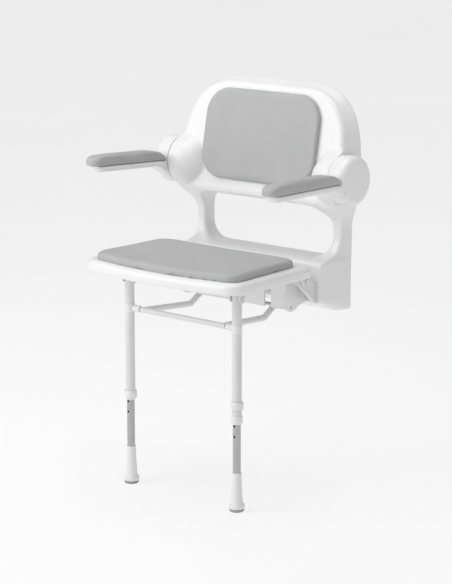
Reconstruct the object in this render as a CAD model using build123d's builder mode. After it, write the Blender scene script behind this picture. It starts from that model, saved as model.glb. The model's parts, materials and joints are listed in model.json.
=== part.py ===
from build123d import *
import os
from math import hypot

# Wall-hung fold-up shower chair with a padded seat, back and arms and two folding front legs.
#
# The seat and both arms fold up against the back moulding. The legs stay upright as the seat
# folds, because the seat, the legs, the link bars and the wall unit make a parallelogram.
# Frame: X to the right of a person facing the chair, Y towards the wall, Z up. The origin is
# the centre of the four wall fixings, on the wall face.

os.makedirs("parts", exist_ok=True)

SIDES = ((-1, "left"), (1, "right"))

# Driving dimensions, in mm. Every HEIGHT is above the floor.
FIXING_HEIGHT = 655.0
FIXING_SPACING_X = 320.0
FIXING_SPACING_Z = 370.0
FIXING_HOLE_R = 4.5

# Back moulding
SHELL_TOP_HEIGHT = 947.0
SHELL_BOTTOM_HEIGHT = 421.0
SHELL_HALF = 250.0
COLUMN_HALF = 226.0
SHELL_WALL = 5.0
SHELL_DEPTH = 110.0
SHELL_TAPER = 18.0
COLUMN_DEPTH = 36.0
LEDGE_HEIGHT = 544.0
LEDGE_DEPTH = 100.0
OPENING_HALF = 193.0
OPENING_TOP_HEIGHT = 670.0
OPENING_CORNER = 40.0

# Back pad, on the leaning front of the moulding
LEAN_TOP = (-38.0, 921.0)
LEAN_BOTTOM = (-79.0, 707.0)
BACK_PAD_WIDTH = 342.0
BACK_PAD_LENGTH = 218.0
BACK_PAD_CORNER = 62.0
BACK_PAD_THICKNESS = 15.0

# Arms and their hubs
HUB_Y = -64.0
HUB_HEIGHT = 739.0
HUB_R = 57.5
HUB_BOSS_R = 44.0
BOSS_NEAR = 214.0
BOSS_FAR = 241.4
PIVOT_NEAR = 220.0
PIVOT_FAR = 282.0
ARM_NEAR = 242.0
ARM_FAR = 286.0
HUB_FAR = 288.0
ARM_BOTTOM_HEIGHT = 724.0
ARM_TOP_HEIGHT = 740.0
ARM_TIP_Y = -353.0
ARM_ROOT_Y = -120.0
ARM_PAD_TIP_Y = -370.0
ARM_RAISE = {"left": 3.0, "right": 0.5}
ARM_PAD_THICKNESS = 24.0
PIVOT_R = 8.0

# Seat
SEAT_HALF = 235.0
SEAT_REAR_Y = -150.0
SEAT_FRONT_CORNER_Y = -428.0
SEAT_FRONT_Y = -457.0
SEAT_BOTTOM_HEIGHT = 525.0
SEAT_TOP_HEIGHT = 551.0
SEAT_WALL = 5.0
SEAT_DECK = 6.0
SEAT_FRONT_CORNER_R = 36.0
SEAT_REAR_CORNER_R = 28.0
SEAT_PAD_FRONT_HALF = 216.0
SEAT_PAD_REAR_HALF = 205.0
SEAT_PAD_FRONT_CORNER_Y = -414.0
SEAT_PAD_FRONT_Y = -438.0
SEAT_PAD_REAR_Y = -176.0
SEAT_PAD_THICKNESS = 16.0
SEAT_PAD_CORNER_R = 26.0

# Fold parallelogram: seat hinge, leg top, leg clip and link pivot
HINGE_Y = -148.0
HINGE_HEIGHT = 510.0
LEG_X = 163.0
LEG_Y = -344.0
LEG_PIN_HEIGHT = 497.0
CLIP_Y = -341.0
CLIP_HEIGHT = 428.0
LINK_Y = HINGE_Y + CLIP_Y - LEG_Y
LINK_HEIGHT = HINGE_HEIGHT + CLIP_HEIGHT - LEG_PIN_HEIGHT

# Legs
TUBE_R = 11.25
TUBE_BORE_R = 9.25
TUBE_BOTTOM_HEIGHT = 211.0
TUBE_TOP_HEIGHT = 509.0
INNER_R = 9.2
INNER_BORE_R = 7.6
INNER_BOTTOM_HEIGHT = 20.0
INNER_TOP_HEIGHT = 385.0
HOLE_PITCH = 25.0
HOLE_R = 2.8
LOWEST_HOLE_HEIGHT = 177.5
HOLE_COUNT = 9

# Link frame
CROSSBAR_R = 6.5
BAR_R = 7.2
BAR_BEND_R = 13.0
BAR_END_X = 121.0
BAR_KNEE = (112.5, -185.0, 417.0)
BAR_EYE_X = 112.0
CROSSBAR_HALF = 128.0

PIN_R = 4.0
HINGE_PIN_R = 5.0
RUNNING_CLEARANCE = 0.05
OPEN_PIVOT_CLEARANCE = 0.3


def level(height):
    """Z in the model's frame of a height above the floor."""
    return height - FIXING_HEIGHT


def start_x(side, near, far):
    """Smaller X of a slab that spans near to far from the middle, on one side."""
    return near if side > 0 else -far


def keep(builder, name):
    """Label one finished sub-part and write its STEP file."""
    builder.part.label = name
    export_step(builder.part, f"parts/{name}.step")


def slab(side, near, far):
    """Plane facing +X at the start of a slab on one side; its sketch axes are Y and Z."""
    return Plane.YZ.offset(start_x(side, near, far))


def rod(side, near, far, y, height, radius):
    """Round rod along X on one side of the middle, also used to cut round holes."""
    with BuildPart(mode=Mode.PRIVATE) as bar:
        with BuildSketch(slab(side, near, far)):
            with Locations((y, level(height))):
                Circle(radius)
        extrude(amount=far - near)
    return bar.part


def turned(x, points):
    """Closed outline of radius and height, turned about the upright axis of a leg."""
    with BuildPart(mode=Mode.PRIVATE) as ring:
        with BuildSketch(Plane(origin=(x, LEG_Y, 0), x_dir=(1, 0, 0), z_dir=(0, -1, 0))):
            with BuildLine():
                Polyline(*[(radius, level(height)) for radius, height in points], close=True)
            make_face()
        revolve(axis=Axis((x, LEG_Y, 0), (0, 0, 1)))
    return ring.part


# ---------------------------------------------------------------- wall unit

def shell_outline(inset):
    """Front outline of the moulding in X and Z, drawn in by inset, as one closed face."""
    with BuildSketch(mode=Mode.PRIVATE) as outline:
        with BuildLine():
            bottom = Line((0, level(SHELL_BOTTOM_HEIGHT) + inset),
                          (COLUMN_HALF - inset, level(SHELL_BOTTOM_HEIGHT) + inset))
            column = Line(bottom @ 1, (COLUMN_HALF - inset, level(575)))
            waist = Spline(column @ 1, (COLUMN_HALF - 3 - inset, level(625)),
                           (COLUMN_HALF + 13 - inset, level(664)),
                           (SHELL_HALF - inset, level(700)), tangents=((0, 1), (0, 1)))
            hub_side = Line(waist @ 1, (SHELL_HALF - inset, level(780)))
            shoulder = Spline(hub_side @ 1, (SHELL_HALF - 9 - inset, level(852)),
                              (205 - inset, level(915) - inset / 2),
                              (120 - inset, level(SHELL_TOP_HEIGHT) - inset),
                              tangents=((0, 1), (-1, 0)))
            Line(shoulder @ 1, (0, level(SHELL_TOP_HEIGHT) - inset))
            mirror(about=Plane.YZ)
        make_face()
    return outline.sketch


def lean_y(height):
    """Y of the leaning front of the moulding at a height."""
    slope = (LEAN_TOP[0] - LEAN_BOTTOM[0]) / (LEAN_TOP[1] - LEAN_BOTTOM[1])
    return LEAN_BOTTOM[0] + slope * (height - LEAN_BOTTOM[1])


def side_profile(inset):
    """Side profile of the moulding in Y and Z, drawn in by inset, as one closed face."""
    front = inset
    with BuildSketch(mode=Mode.PRIVATE) as profile:
        with BuildLine():
            foot = Line((1, level(SHELL_BOTTOM_HEIGHT) + inset),
                        (-41, level(SHELL_BOTTOM_HEIGHT) + inset))
            belly = Spline(foot @ 1, (-84, level(436) + inset),
                           (-LEDGE_DEPTH + front, level(446) + inset),
                           tangents=((-1, 0), (-1, 0.5)))
            face = Line(belly @ 1, (-LEDGE_DEPTH + front, level(LEDGE_HEIGHT) - 6 - inset))
            ledge = Line(face @ 1, (-LEDGE_DEPTH + 6 + front, level(LEDGE_HEIGHT) - inset))
            sweep_up = Spline(ledge @ 1, (-64 + front, level(552) - inset),
                              (-COLUMN_DEPTH - 4 + front, level(576)),
                              (-COLUMN_DEPTH + front, level(602)),
                              (-COLUMN_DEPTH - 6 + front, level(632)),
                              (lean_y(690) + front, level(690)))
            panel = Line(sweep_up @ 1, (lean_y(932) + front, level(932)))
            brow = Spline(panel @ 1, (-22, level(SHELL_TOP_HEIGHT) - inset),
                          (1, level(SHELL_TOP_HEIGHT) - inset), tangents=(panel % 1, (1, 0)))
            Line(brow @ 1, foot @ 0)
        make_face()
    return profile.sketch


def envelope(inset):
    """Tapered moulding, lofted from its outline and cut to its side profile, with the opening."""
    opening_height = (LEDGE_HEIGHT + OPENING_TOP_HEIGHT) / 2
    opening_length = OPENING_TOP_HEIGHT - LEDGE_HEIGHT
    with BuildPart() as body:
        with BuildSketch(Plane.XZ.offset(-1)):
            add(shell_outline(inset))
        with BuildSketch(Plane.XZ.offset(SHELL_DEPTH)):
            add(shell_outline(inset + SHELL_TAPER))
        loft()
        with BuildSketch(Plane.YZ.offset(-SHELL_HALF - 10)):
            add(side_profile(inset))
        extrude(amount=2 * SHELL_HALF + 20, mode=Mode.INTERSECT)
        with BuildSketch(Plane.XZ.offset(-1)):
            with Locations((0, level(opening_height))):
                RectangleRounded(2 * (OPENING_HALF + inset), opening_length + 2 * inset,
                                 OPENING_CORNER + inset)
        extrude(amount=SHELL_DEPTH + 20, mode=Mode.SUBTRACT)
    return body.part


COVER_SCREW_Y = -70.0
COVER_SCREW_HEIGHT = 456.0
COVER_SCREW_X = 209.5
COVER_SCREW_R = 4.4
BOLT_X = 176.5
BOLT_HEIGHTS = (464.0, 488.0)
BOLT_R = 3.0

cavity = envelope(SHELL_WALL)
with BuildPart() as back_shell:
    add(envelope(0))
    add(cavity, mode=Mode.SUBTRACT)
    # round bosses that carry the arm pivots, and the round seats that the arm hubs turn in
    for side, _ in SIDES:
        add(rod(side, BOSS_NEAR, BOSS_FAR, HUB_Y, HUB_HEIGHT, HUB_BOSS_R))
        add(rod(side, BOSS_FAR, SHELL_HALF + 10, HUB_Y, HUB_HEIGHT, HUB_R + 1.5), mode=Mode.SUBTRACT)
        add(rod(side, PIVOT_NEAR, BOSS_FAR, HUB_Y, HUB_HEIGHT, PIVOT_R), mode=Mode.SUBTRACT)
        # side hole for the cover screw and front holes for the bracket bolts
        add(rod(side, 200, SHELL_HALF, COVER_SCREW_Y, COVER_SCREW_HEIGHT, COVER_SCREW_R),
            mode=Mode.SUBTRACT)
        with BuildSketch(Plane.XZ.offset(LEDGE_DEPTH - SHELL_WALL - 1)):
            with Locations([(side * BOLT_X, level(height)) for height in BOLT_HEIGHTS]):
                Circle(BOLT_R)
        extrude(amount=SHELL_WALL + 2, mode=Mode.SUBTRACT)
    # trim the 1 mm that was drawn past the wall face
    split(bisect_by=Plane.XZ, keep=Keep.TOP)
keep(back_shell, "back_shell")

lean_centre_height = (LEAN_TOP[1] + LEAN_BOTTOM[1]) / 2
lean_length = hypot(LEAN_TOP[0] - LEAN_BOTTOM[0], LEAN_TOP[1] - LEAN_BOTTOM[1])
lean_normal = (0, -(LEAN_TOP[1] - LEAN_BOTTOM[1]) / lean_length,
               (LEAN_TOP[0] - LEAN_BOTTOM[0]) / lean_length)
lean_plane = Plane(origin=(0, lean_y(lean_centre_height), level(lean_centre_height)),
                   x_dir=(1, 0, 0), z_dir=lean_normal)
with BuildPart() as back_pad:
    with BuildSketch(lean_plane):
        RectangleRounded(BACK_PAD_WIDTH, BACK_PAD_LENGTH, BACK_PAD_CORNER)
    extrude(amount=BACK_PAD_THICKNESS)
    front_face = back_pad.faces().sort_by(Axis(origin=(0, 0, 0), direction=lean_normal))[-1]
    fillet(front_face.edges(), radius=7)
keep(back_pad, "back_pad")

# Flat steel frame against the wall, with a plate behind the back and one behind the seat
FRAME_T = 4.0
with BuildPart() as wall_frame:
    with BuildSketch(Plane.XZ):
        with Locations((0, level(840))):
            Rectangle(2 * 190, 90)
        with Locations((0, level(485))):
            Rectangle(2 * 214, 84)
        for side, _ in SIDES:
            with Locations((side * 211, level(610))):
                Rectangle(9, 250)
            with Locations((side * 196, level(760))):
                Rectangle(46, 76)
        fixing_mid = level(FIXING_HEIGHT)
        with Locations((0, fixing_mid)):
            with GridLocations(FIXING_SPACING_X, FIXING_SPACING_Z, 2, 2):
                Circle(FIXING_HOLE_R, mode=Mode.SUBTRACT)
    extrude(amount=FRAME_T)
keep(wall_frame, "wall_frame")

# Square steel tubes that carry the hinge brackets out from the frame
CARRIER_NEAR = 166.0
CARRIER_FAR = 202.0
CARRIER_BOTTOM_HEIGHT = 452.0
CARRIER_TOP_HEIGHT = 500.0
CARRIER_WALL = 3.0
carrier_mid = ((CARRIER_NEAR + CARRIER_FAR) / 2, level((CARRIER_BOTTOM_HEIGHT + CARRIER_TOP_HEIGHT) / 2))
carrier_size = (CARRIER_FAR - CARRIER_NEAR, CARRIER_TOP_HEIGHT - CARRIER_BOTTOM_HEIGHT)
for side, side_name in SIDES:
    with BuildPart() as carrier:
        with BuildSketch(Plane.XZ.offset(FRAME_T)):
            with Locations((side * carrier_mid[0], carrier_mid[1])):
                Rectangle(*carrier_size)
                Rectangle(carrier_size[0] - 2 * CARRIER_WALL, carrier_size[1] - 2 * CARRIER_WALL,
                          mode=Mode.SUBTRACT)
        extrude(amount=LEDGE_DEPTH - SHELL_WALL - FRAME_T - 6)
        # end plate, tapped for the bracket bolts
        with BuildSketch(Plane.XZ.offset(LEDGE_DEPTH - SHELL_WALL - 6)):
            with Locations((side * carrier_mid[0], carrier_mid[1])):
                Rectangle(*carrier_size)
            with Locations([(side * BOLT_X, level(height)) for height in BOLT_HEIGHTS]):
                Circle(BOLT_R, mode=Mode.SUBTRACT)
        extrude(amount=6)
    keep(carrier, f"carrier_{side_name}")

# Hinge brackets bolted to the front of the moulding, each with an eye for the seat
EYE_NEAR = 186.0
EYE_FAR = 198.0
EYE_R = 14.0
BRACKET_FLANGE_T = 5.0
FLANGE_NEAR = 169.0
FLANGE_FAR = 200.0
for side, side_name in SIDES:
    with BuildPart() as hinge_bracket:
        with BuildSketch(slab(side, EYE_NEAR, EYE_FAR)):
            with Locations((HINGE_Y, level(HINGE_HEIGHT))):
                Circle(EYE_R)
            with BuildLine():
                Polyline((-LEDGE_DEPTH, level(448)), (-LEDGE_DEPTH, level(500)),
                         (HINGE_Y + 12, level(503)), (HINGE_Y - 11, level(501)),
                         (-LEDGE_DEPTH, level(448)))
            make_face()
            with Locations((HINGE_Y, level(HINGE_HEIGHT))):
                Circle(HINGE_PIN_R, mode=Mode.SUBTRACT)
        extrude(amount=EYE_FAR - EYE_NEAR)
        with BuildSketch(Plane.XZ.offset(LEDGE_DEPTH)):
            with Locations((side * (FLANGE_NEAR + FLANGE_FAR) / 2, level(sum(BOLT_HEIGHTS) / 2))):
                Rectangle(FLANGE_FAR - FLANGE_NEAR, 46)
        extrude(amount=BRACKET_FLANGE_T)
        with BuildSketch(Plane.XZ.offset(LEDGE_DEPTH)):
            with Locations([(side * BOLT_X, level(height)) for height in BOLT_HEIGHTS]):
                Circle(BOLT_R)
        extrude(amount=BRACKET_FLANGE_T, mode=Mode.SUBTRACT)
    keep(hinge_bracket, f"hinge_bracket_{side_name}")


BOLT_HEAD_R = 5.0
BOLT_HEAD_T = 4.0
with BuildPart() as bracket_bolts:
    shank_start = LEDGE_DEPTH + BRACKET_FLANGE_T
    with BuildSketch(Plane.XZ.offset(shank_start)):
        with Locations([(side * BOLT_X, level(height)) for side, _ in SIDES for height in BOLT_HEIGHTS]):
            Circle(BOLT_R)
    extrude(amount=-(BRACKET_FLANGE_T + SHELL_WALL + 6))
    with BuildSketch(Plane.XZ.offset(shank_start)):
        with Locations([(side * BOLT_X, level(height)) for side, _ in SIDES for height in BOLT_HEIGHTS]):
            RegularPolygon(BOLT_HEAD_R, 6)
    extrude(amount=BOLT_HEAD_T)
keep(bracket_bolts, "bracket_bolts")

with BuildPart() as cover_screws:
    for side, _ in SIDES:
        add(rod(side, COVER_SCREW_X, COVER_SCREW_X + 4, COVER_SCREW_Y, COVER_SCREW_HEIGHT, 4.2))
        add(rod(side, CARRIER_FAR, COVER_SCREW_X, COVER_SCREW_Y, COVER_SCREW_HEIGHT, 2.0))
keep(cover_screws, "cover_screws")

# Support moulding under the rear of the seat: an apron with a slot for each link bar,
# two side walls that hold the link rod, and a top
SUPPORT_HALF = 160.0
SUPPORT_FRONT_Y = -172.0
SUPPORT_TOP_HEIGHT = 500.0
SUPPORT_WALL = 5.0
SLOT_HALF = 10.0
SUPPORT_FLARE = 167.0
with BuildPart() as seat_support:
    with BuildSketch(Plane.XY.offset(level(425))):
        with BuildLine():
            apron = Line((0, SUPPORT_FRONT_Y), (SUPPORT_HALF, SUPPORT_FRONT_Y))
            flank = Line(apron @ 1, (SUPPORT_HALF, -112))
            flare = RadiusArc(flank @ 1, (SUPPORT_FLARE, -LEDGE_DEPTH), 14)
            Line(flare @ 1, (0, -LEDGE_DEPTH))
            mirror(about=Plane.YZ)
        make_face()
        fillet(vertices().group_by(Axis.Y)[0], radius=8)
    extrude(amount=SUPPORT_TOP_HEIGHT - 425)
    with BuildSketch(Plane.YZ.offset(-SUPPORT_FLARE - 10)):
        with BuildLine():
            rim = Line((SUPPORT_FRONT_Y - 1, level(SUPPORT_TOP_HEIGHT)),
                       (SUPPORT_FRONT_Y - 1, level(441)))
            front_run = Line(rim @ 1, (SUPPORT_FRONT_Y + 8, level(441)))
            lug = ThreePointArc(front_run @ 1, (LINK_Y, level(LINK_HEIGHT - 10)),
                                (-122, level(438)))
            rear_run = Line(lug @ 1, (-LEDGE_DEPTH, level(447)))
            back_run = Line(rear_run @ 1, (-LEDGE_DEPTH, level(SUPPORT_TOP_HEIGHT)))
            Line(back_run @ 1, rim @ 0)
        make_face()
    extrude(amount=2 * SUPPORT_FLARE + 20, mode=Mode.INTERSECT)
    with BuildSketch(Plane.XY.offset(level(420))):
        inner_depth = -LEDGE_DEPTH - SUPPORT_FRONT_Y - SUPPORT_WALL
        with Locations((0, -LEDGE_DEPTH - inner_depth / 2)):
            Rectangle(2 * (SUPPORT_HALF - SUPPORT_WALL), inner_depth)
    extrude(amount=SUPPORT_TOP_HEIGHT - SUPPORT_WALL - 420, mode=Mode.SUBTRACT)
    with BuildSketch(Plane.XY.offset(level(420))):
        with Locations([(side * BAR_EYE_X, SUPPORT_FRONT_Y + 22) for side, _ in SIDES]):
            Rectangle(2 * SLOT_HALF, 46)
    extrude(amount=SUPPORT_TOP_HEIGHT - 420, mode=Mode.SUBTRACT)
    for side, _ in SIDES:
        add(rod(side, SUPPORT_HALF - 10, SUPPORT_HALF + 5, LINK_Y, LINK_HEIGHT, PIN_R), mode=Mode.SUBTRACT)
keep(seat_support, "seat_support")

# Link rod: both link bars turn on it
with BuildPart() as link_rod:
    with BuildSketch(Plane.YZ.offset(-SUPPORT_HALF)):
        with Locations((LINK_Y, level(LINK_HEIGHT))):
            Circle(PIN_R)
    extrude(amount=2 * SUPPORT_HALF)
    chamfer(link_rod.edges().filter_by(GeomType.CIRCLE), length=0.8)
keep(link_rod, "link_rod")

# Hinge pins, fixed in the bracket eyes, with a round head outside and a clip groove inside
LUG_INNER = (176.0, 184.0)
LUG_OUTER = (200.0, 208.0)
LUG_R = 13.0
PIN_HEAD_R = 6.0
for side, side_name in SIDES:
    with BuildPart() as hinge_pin:
        add(rod(side, LUG_INNER[0] - 2, LUG_OUTER[1] + 0.4, HINGE_Y, HINGE_HEIGHT, HINGE_PIN_R))
        add(rod(side, LUG_OUTER[1] + 0.4, LUG_OUTER[1] + 3.4, HINGE_Y, HINGE_HEIGHT, PIN_HEAD_R))
    keep(hinge_pin, f"hinge_pin_{side_name}")

# Arm pivots: a shaft on each side, fixed in the boss of the moulding
for side, side_name in SIDES:
    with BuildPart() as arm_pivot:
        add(rod(side, PIVOT_NEAR, PIVOT_FAR, HUB_Y, HUB_HEIGHT, PIVOT_R))
    keep(arm_pivot, f"arm_pivot_{side_name}")

# ---------------------------------------------------------------- arms

ARM_MID = (ARM_NEAR + ARM_FAR) / 2
ARM_WIDTH = ARM_FAR - ARM_NEAR
HUB_WALL = 4.0
HUB_CORE_R = 15.0
PAD_SCREW_Y = (-157.0, -310.0)


def arm_plan(tip_y, root_y, width):
    """Plan outline of an arm: straight sides and a round-cornered tip, as one face about X = 0."""
    with BuildSketch(mode=Mode.PRIVATE) as plan:
        with Locations((0, (tip_y + root_y) / 2)):
            Rectangle(width, root_y - tip_y)
        fillet(plan.vertices().group_by(Axis.Y)[0], radius=width * 0.42)
    return plan.sketch


def raised(part, side_name):
    """An arm piece turned up a little about the hub, as its stop leaves it."""
    return part.rotate(Axis((0, HUB_Y, level(HUB_HEIGHT)), (-1, 0, 0)), ARM_RAISE[side_name])


for side, side_name in SIDES:
    with BuildPart() as arm:
        # hub drum: rim, inner web and core, open to the outside where the cap goes
        add(rod(side, ARM_NEAR, HUB_FAR - HUB_WALL, HUB_Y, HUB_HEIGHT, HUB_R))
        add(rod(side, ARM_NEAR + HUB_WALL, HUB_FAR, HUB_Y, HUB_HEIGHT, HUB_R - HUB_WALL),
            mode=Mode.SUBTRACT)
        add(rod(side, ARM_NEAR, HUB_FAR - 12, HUB_Y, HUB_HEIGHT, HUB_CORE_R))
        add(rod(side, ARM_NEAR - 5, HUB_FAR, HUB_Y, HUB_HEIGHT, PIVOT_R + RUNNING_CLEARANCE),
            mode=Mode.SUBTRACT)
        # arm beam
        with BuildSketch(Plane.XY.offset(level(ARM_BOTTOM_HEIGHT)), mode=Mode.PRIVATE) as beam_plan:
            with Locations((side * ARM_MID, 0)):
                add(arm_plan(ARM_TIP_Y, HUB_Y - HUB_R + 6, ARM_WIDTH))
        beam = extrude(beam_plan.sketch, amount=ARM_TOP_HEIGHT - ARM_BOTTOM_HEIGHT,
                       mode=Mode.PRIVATE)
        with BuildSketch(slab(side, ARM_NEAR + HUB_WALL, HUB_FAR), mode=Mode.PRIVATE) as drum_hole:
            with Locations((HUB_Y, level(HUB_HEIGHT))):
                Circle(HUB_R - HUB_WALL)
        drum_space = extrude(drum_hole.sketch, amount=HUB_FAR - ARM_NEAR - HUB_WALL,
                             mode=Mode.PRIVATE)
        add(beam - drum_space)
        add(rod(side, HUB_FAR - HUB_WALL, HUB_FAR, HUB_Y, HUB_HEIGHT, HUB_R + 0.3),
            mode=Mode.SUBTRACT)
        # shallow weight-saving pocket under the pad
        with BuildSketch(Plane.XY.offset(level(ARM_TOP_HEIGHT))):
            with Locations((side * ARM_MID, (ARM_TIP_Y + ARM_ROOT_Y) / 2)):
                RectangleRounded(ARM_WIDTH - 12, ARM_ROOT_Y - ARM_TIP_Y - 30, 8)
        extrude(amount=-(ARM_TOP_HEIGHT - ARM_BOTTOM_HEIGHT - 5), mode=Mode.SUBTRACT)
    arm.part = raised(arm.part, side_name)
    keep(arm, f"arm_{side_name}")

    with BuildPart() as arm_pad:
        with BuildSketch(Plane.XY.offset(level(ARM_TOP_HEIGHT))):
            with Locations((side * ARM_MID, 0)):
                add(arm_plan(ARM_PAD_TIP_Y, ARM_ROOT_Y - 3, ARM_WIDTH))
        extrude(amount=ARM_PAD_THICKNESS)
        fillet(arm_pad.faces().sort_by(Axis.Z)[-1].edges(), radius=7)
    arm_pad.part = raised(arm_pad.part, side_name)
    keep(arm_pad, f"arm_pad_{side_name}")

    with BuildPart() as hub_cap:
        add(rod(side, HUB_FAR - HUB_WALL, HUB_FAR, HUB_Y, HUB_HEIGHT, HUB_R))
        add(rod(side, HUB_FAR - HUB_WALL - 4, HUB_FAR - HUB_WALL, HUB_Y, HUB_HEIGHT, HUB_R - HUB_WALL - 0.2))
        add(rod(side, HUB_FAR - HUB_WALL - 6, HUB_FAR - HUB_WALL, HUB_Y, HUB_HEIGHT,
                HUB_R - HUB_WALL - 3), mode=Mode.SUBTRACT)
        chamfer(hub_cap.faces().sort_by(Axis.X)[0 if side < 0 else -1].edges(), length=1.5)
    keep(hub_cap, f"hub_cap_{side_name}")

    # washer and nut that keep the hub on its pivot
    with BuildPart() as hub_nut:
        with BuildSketch(slab(side, HUB_FAR - 11.7, HUB_FAR - 6)):
            with Locations((HUB_Y, level(HUB_HEIGHT))):
                RegularPolygon(13, 6)
                Circle(PIVOT_R, mode=Mode.SUBTRACT)
        extrude(amount=5.4)
    keep(hub_nut, f"hub_nut_{side_name}")

    with BuildPart() as arm_pad_screws:
        with BuildSketch(Plane.XY.offset(level(ARM_BOTTOM_HEIGHT) - 1.5)):
            with Locations([(side * ARM_MID, y) for y in PAD_SCREW_Y]):
                Circle(4)
        extrude(amount=1.5)
    arm_pad_screws.part = raised(arm_pad_screws.part, side_name)
    keep(arm_pad_screws, f"arm_pad_screws_{side_name}")

# ---------------------------------------------------------------- seat


def seat_plan(front_half, rear_half, rear_y, corner_y, front_y, front_r, rear_r):
    """Plan outline of the seat or its pad, with a bowed front and round corners."""
    with BuildSketch(mode=Mode.PRIVATE) as plan:
        with BuildLine():
            rear = Line((-rear_half, rear_y), (rear_half, rear_y))
            right = Line(rear @ 1, (front_half, corner_y))
            bow = ThreePointArc(right @ 1, (0, front_y), (-front_half, corner_y))
            Line(bow @ 1, rear @ 0)
        make_face()
        corners = plan.vertices().sort_by(Axis.Y)
        fillet(corners[-2:], radius=rear_r)
        corners = plan.vertices().sort_by(Axis.Y)
        fillet([v for v in corners if abs(v.Y - corner_y) < 0.1], radius=front_r)
    return plan.sketch


with BuildPart() as seat_shell:
    with BuildSketch(Plane.XY.offset(level(SEAT_BOTTOM_HEIGHT))):
        add(seat_plan(SEAT_HALF, SEAT_HALF, SEAT_REAR_Y, SEAT_FRONT_CORNER_Y, SEAT_FRONT_Y,
                      SEAT_FRONT_CORNER_R, SEAT_REAR_CORNER_R))
    extrude(amount=SEAT_TOP_HEIGHT - SEAT_BOTTOM_HEIGHT)
    fillet(seat_shell.faces().sort_by(Axis.Z)[-1].edges(), radius=8)
    with BuildSketch(Plane.XY.offset(level(SEAT_BOTTOM_HEIGHT))):
        add(seat_plan(SEAT_HALF - SEAT_WALL, SEAT_HALF - SEAT_WALL, SEAT_REAR_Y - SEAT_WALL,
                      SEAT_FRONT_CORNER_Y + SEAT_WALL, SEAT_FRONT_Y + SEAT_WALL,
                      SEAT_FRONT_CORNER_R - SEAT_WALL, SEAT_REAR_CORNER_R - SEAT_WALL))
    extrude(amount=SEAT_TOP_HEIGHT - SEAT_BOTTOM_HEIGHT - SEAT_DECK, mode=Mode.SUBTRACT)
keep(seat_shell, "seat_shell")

with BuildPart() as seat_pad:
    with BuildSketch(Plane.XY.offset(level(SEAT_TOP_HEIGHT))):
        add(seat_plan(SEAT_PAD_FRONT_HALF, SEAT_PAD_REAR_HALF, SEAT_PAD_REAR_Y,
                      SEAT_PAD_FRONT_CORNER_Y, SEAT_PAD_FRONT_Y, SEAT_PAD_CORNER_R,
                      SEAT_PAD_CORNER_R))
    extrude(amount=SEAT_PAD_THICKNESS)
    fillet(seat_pad.faces().sort_by(Axis.Z)[-1].edges(), radius=6)
keep(seat_pad, "seat_pad")

DECK_UNDER_HEIGHT = SEAT_TOP_HEIGHT - SEAT_DECK
PLATE_T = 4.0
HINGE_PLATE_Y = (-189.0, -156.0)
LEG_PLATE_Y = (-372.0, -316.0)
LEG_PLATES = (146.5, 179.5)
CHEEK_R = 9.0

# Seat hinge lugs under the rear of the deck, either side of each bracket eye
for side, side_name in SIDES:
    with BuildPart() as seat_lug:
        for near, far in (LUG_INNER, LUG_OUTER):
            with BuildSketch(slab(side, near, far)):
                with Locations((HINGE_Y, level(HINGE_HEIGHT))):
                    Circle(LUG_R)
                with BuildLine():
                    Polyline((-172, level(DECK_UNDER_HEIGHT)), (-156, level(DECK_UNDER_HEIGHT)),
                             (-156, level(523)), (HINGE_Y + 4, level(516)),
                             (HINGE_Y - 11, level(503)), (-172, level(535)),
                             (-172, level(DECK_UNDER_HEIGHT)))
                make_face()
                with Locations((HINGE_Y, level(HINGE_HEIGHT))):
                    Circle(HINGE_PIN_R + RUNNING_CLEARANCE, mode=Mode.SUBTRACT)
            extrude(amount=far - near)
        with BuildSketch(Plane.XY.offset(level(DECK_UNDER_HEIGHT))):
            with Locations((side * (LUG_INNER[0] + LUG_OUTER[1]) / 2, sum(HINGE_PLATE_Y) / 2)):
                Rectangle(LUG_OUTER[1] - LUG_INNER[0], HINGE_PLATE_Y[1] - HINGE_PLATE_Y[0])
        extrude(amount=-PLATE_T)
    keep(seat_lug, f"seat_lug_{side_name}")

# Leg brackets under the front of the deck: two cheeks and a plate
for side, side_name in SIDES:
    with BuildPart() as leg_bracket:
        for near, far in ((LEG_PLATES[0], LEG_PLATES[0] + PLATE_T),
                          (LEG_PLATES[1] - PLATE_T, LEG_PLATES[1])):
            with BuildSketch(slab(side, near, far)):
                with Locations((LEG_Y, level(LEG_PIN_HEIGHT))):
                    Circle(CHEEK_R)
                with BuildLine():
                    Polyline((LEG_Y - CHEEK_R, level(LEG_PIN_HEIGHT)),
                             (LEG_Y + CHEEK_R, level(LEG_PIN_HEIGHT)),
                             (LEG_Y + 22, level(DECK_UNDER_HEIGHT)),
                             (LEG_Y - 22, level(DECK_UNDER_HEIGHT)),
                             (LEG_Y - CHEEK_R, level(LEG_PIN_HEIGHT)))
                make_face()
                with Locations((LEG_Y, level(LEG_PIN_HEIGHT))):
                    Circle(PIN_R + RUNNING_CLEARANCE, mode=Mode.SUBTRACT)
            extrude(amount=PLATE_T)
        with BuildSketch(Plane.XY.offset(level(DECK_UNDER_HEIGHT))):
            with Locations((side * LEG_X, sum(LEG_PLATE_Y) / 2)):
                Rectangle(LEG_PLATES[1] - LEG_PLATES[0], LEG_PLATE_Y[1] - LEG_PLATE_Y[0])
        extrude(amount=-PLATE_T)
    keep(leg_bracket, f"leg_bracket_{side_name}")

with BuildPart() as deck_screws:
    leg_screws = [(side * LEG_X, y) for side, _ in SIDES for y in (LEG_PLATE_Y[0] + 7, LEG_PLATE_Y[1] - 7)]
    lug_screws = [(side * (EYE_NEAR + EYE_FAR) / 2, HINGE_PLATE_Y[0] + 8) for side, _ in SIDES]
    with BuildSketch(Plane.XY.offset(level(DECK_UNDER_HEIGHT) - PLATE_T)):
        with Locations(leg_screws + lug_screws):
            Circle(4.5)
    extrude(amount=-2.5)
keep(deck_screws, "deck_screws")

# ---------------------------------------------------------------- legs

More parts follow.
